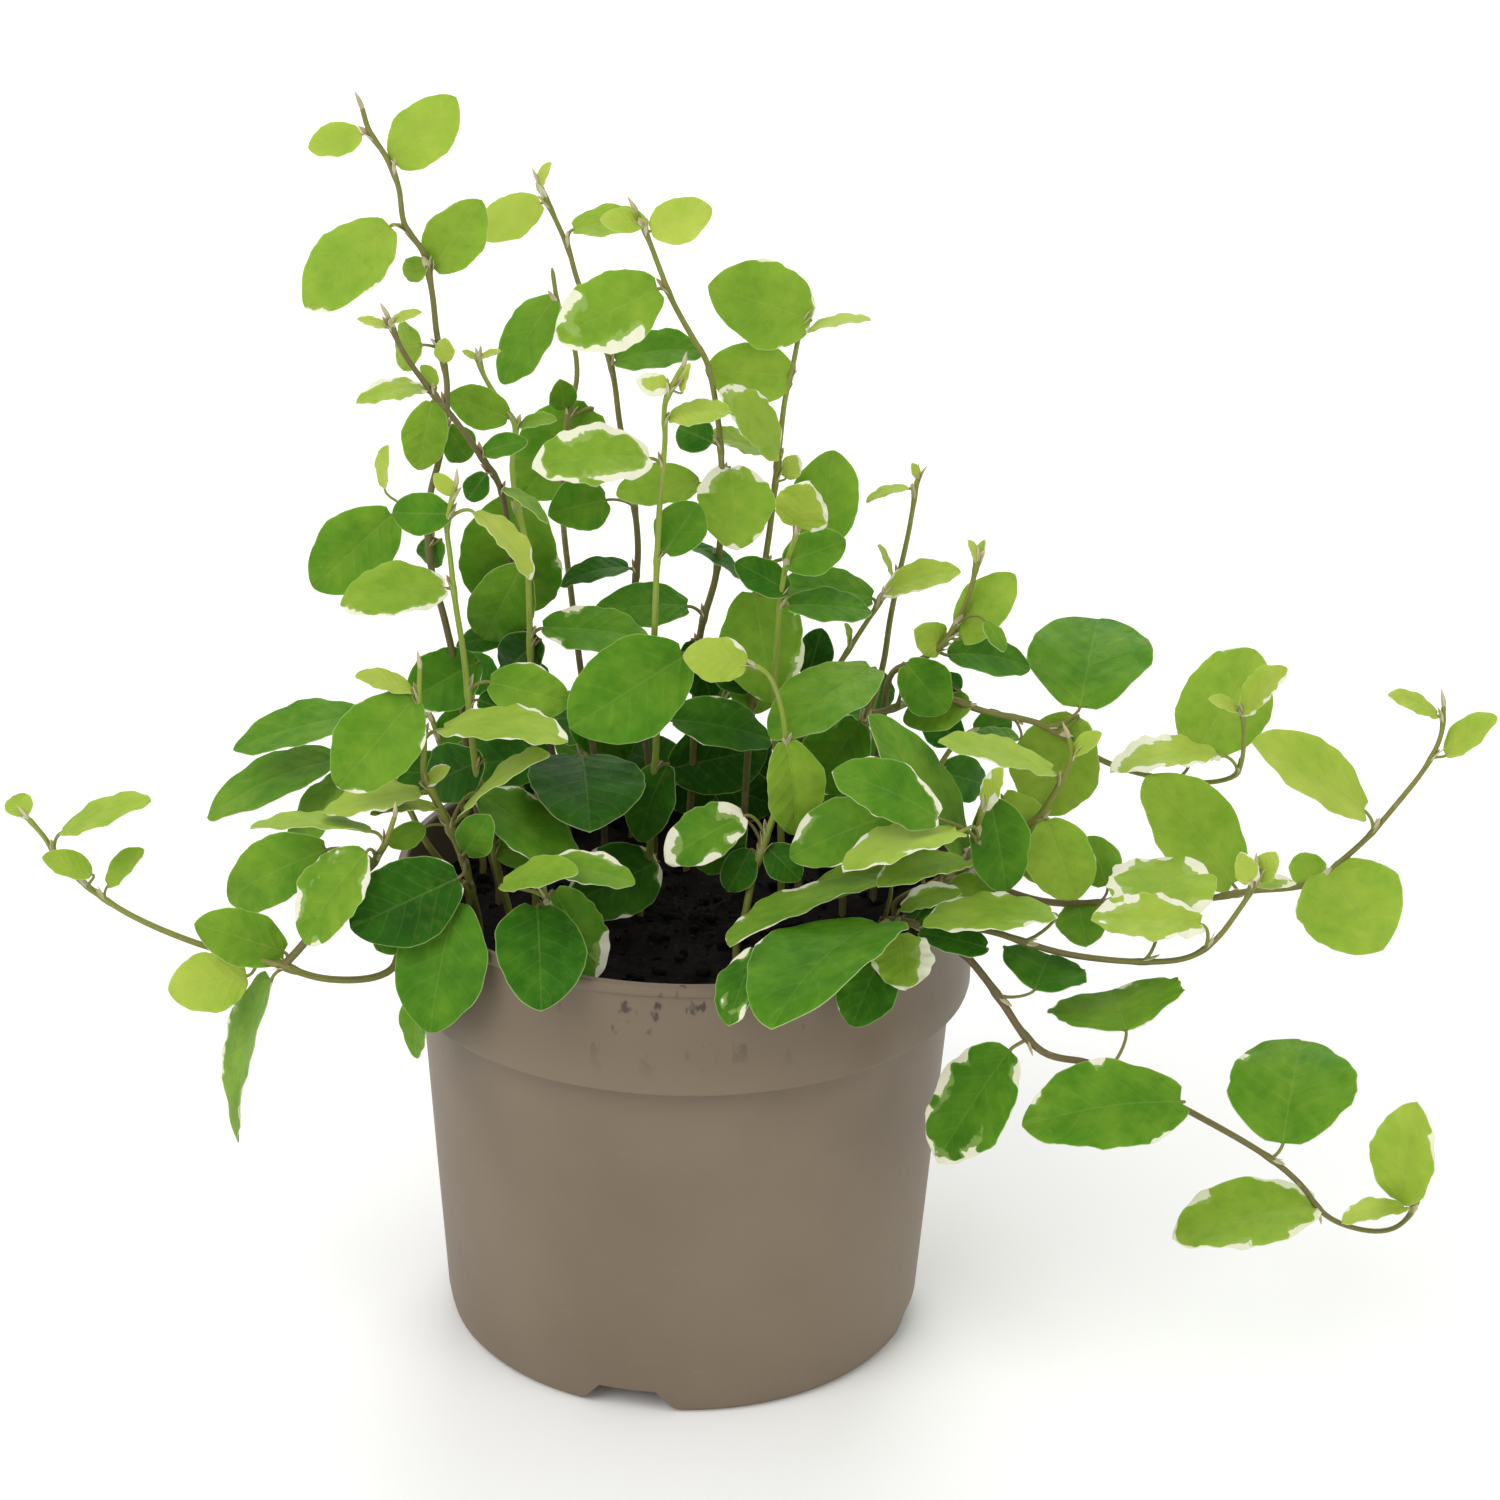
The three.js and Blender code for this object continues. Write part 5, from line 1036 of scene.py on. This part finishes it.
def makeSoil():
    surface, rings = stalk["soilLevel"], soilShape["rings"]
    clear = potShape["wall"] + stalk["seat"]
    edge, inner = potShape["rim"] - clear, potShape["base"] - clear
    bottom = potShape["channelHeight"] + clear + 0.4
    profile = [(0, bottom), (inner - 1.4, bottom), (inner + 0.2, 8),
               (shoulder - clear, bandFoot + stalk["seat"]), (edge, bandFoot + 2 + stalk["seat"]),
               (edge, surface - 1)]
    profile += [(edge * (1 - k / rings), surface) for k in range(rings + 1)]
    soil = spun("soil_fine", profile, soilShape["sides"])
    places = corners(soil) / metre
    x, y, z = places.T
    crumb = (0.55 * np.sin(1.9 * x + 0.7 * y + 1) * np.sin(1.3 * y - 1.1 * x)
             + 0.35 * np.sin(3.1 * x - 2.3 * y) + 0.3 * np.sin(4.3 * y + 1.9 * x + 2))
    fade = np.clip((edge - np.hypot(x, y)) / 3, 0, 1)
    raised = surface + fade * (lumps(x, y) + soilShape["crumb"] * crumb)
    places[:, 2] = np.where(z > surface - 0.5, raised, z)
    setCorners(soil, places * metre)
    return soil


def scatterCrumbs():
    deselectAll()
    bpy.ops.mesh.primitive_ico_sphere_add(subdivisions=1, radius=metre)
    blank = bpy.context.object
    crumbs = []
    for index in range(soilShape["crumbs"]):
        radius = soilShape["crumbRing"] * math.sqrt(draw())
        angle = soilShape["round"] * draw()
        size = soilShape["leastCrumb"] + soilShape["crumbSpread"] * draw() ** 3
        x, y = radius * math.cos(angle), radius * math.sin(angle)
        squash = np.array([0.7 + 0.6 * draw(), 0.7 + 0.6 * draw(), 0.45 + 0.5 * draw()]) * size
        turn = soilShape["round"] * draw()
        c, s = math.cos(turn), math.sin(turn)
        spin = np.array([[c, -s, 0], [s, c, 0], [0, 0, 1]])
        middle = np.array([x, y, stalk["soilLevel"] + lumps(x, y) + 0.25 * size]) * metre
        crumbs.append(copyOf(blank, (corners(blank) * squash) @ spin.T + middle))
    discard(blank)
    return crumbs


# The soil's own dark brown is darkened further to near-black: partly painted shade for the shade that falls
# on the soil.
soilLook = {"black": "070504", "brown": "16100b", "fleck": "564534", "roughness": 0.95}


def makeSoilMaterial():
    look = soilLook
    material, tone = finish("potting_soil", {"Roughness": look["roughness"], "Specular IOR Level": 0.1})
    place = tone.places()
    lump, fleck = place.noise(260.0, 4.0, 0.65), place.noise(700.0)
    body = tone.dyed(look["brown"], lump.between(0.42, 0.68), look["black"])
    body = body.dyed(look["fleck"], fleck.between(0.7, 0.78) * 0.5)
    tone.wire({"Base Color": body, "Normal": (lump * 0.7 + fleck * 0.3).bump(0.8, 0.0008)})
    return material


soil = joined([makeSoil()] + scatterCrumbs(), "soil_fine")
smooth(soil, 60)
soil.data.materials.append(makeSoilMaterial())
standsFor(soil, "soil")
report("the soil is filled in")

studio = {"floorSize": 8.0, "floor": "fafaf9", "floorPatch": "fdfdfc", "world": 0.72, "clipStart": 0.05,
          "clipEnd": 20.0,
          # each lamp's place, aim, size and power
          "key_light": ((-1.1, -1.3, 1.7), (0, 0, 0.12), 1.8, 26.0),
          "fill_light": ((1.4, -1.0, 0.9), (0, 0, 0.12), 1.2, 5.0),
          "back_light": ((0.2, 1.5, 1.3), (0, 0, 0.15), 1.2, 14.5)}


def stand(thing, right, up, back, place):  # a camera or lamp, at a place in metres
    turn = Matrix(np.column_stack([right, up, back]).tolist()).to_4x4()
    thing.matrix_world = Matrix.Translation(place) @ turn


def placeCamera():
    bpy.ops.object.camera_add()
    camera = bpy.context.object
    camera.name = "view_camera"
    camera.data.sensor_width = view["sensor"]
    camera.data.lens = view["sensor"] * view["reach"] / view["side"]
    camera.data.clip_start, camera.data.clip_end = studio["clipStart"], studio["clipEnd"]
    stand(camera, viewRight, viewUp, -viewAhead, (viewEye * metre).tolist())
    bpy.context.scene.camera = camera


def makeFloor():
    deselectAll()
    bpy.ops.mesh.primitive_plane_add(size=studio["floorSize"])
    floor = bpy.context.object
    floor.name = "studio_floor"
    material, tone = finish("pale_floor", {"Roughness": 0.9})
    patches = tone.places().noise(3.0)
    tone.wire({"Base Color": tone.dyed(studio["floorPatch"], patches, studio["floor"])})
    floor.data.materials.append(material)


def makeLight(name):
    place, aim, size, power = studio[name]
    light = bpy.data.lights.new(name, "AREA")
    light.shape, light.size, light.energy = "DISK", size, power
    back = unit(np.array(place) - np.array(aim))
    right = unit(np.cross((0, 0, 1), back))
    stand(newPiece(name, light), right, np.cross(back, right), back, place)


def lightStudio():
    world = bpy.data.worlds.new("soft_studio")
    world.use_nodes = True
    sky = world.node_tree.nodes["Background"]
    sky.inputs["Color"].default_value = (1.0, 1.0, 1.0, 1.0)
    sky.inputs["Strength"].default_value = studio["world"]
    bpy.context.scene.world = world
    for name in ("key_light", "fill_light", "back_light"):
        makeLight(name)
    bpy.context.scene.view_settings.view_transform = "Standard"


makeFloor()
lightStudio()
placeCamera()
report("the floor, lights and camera are set")
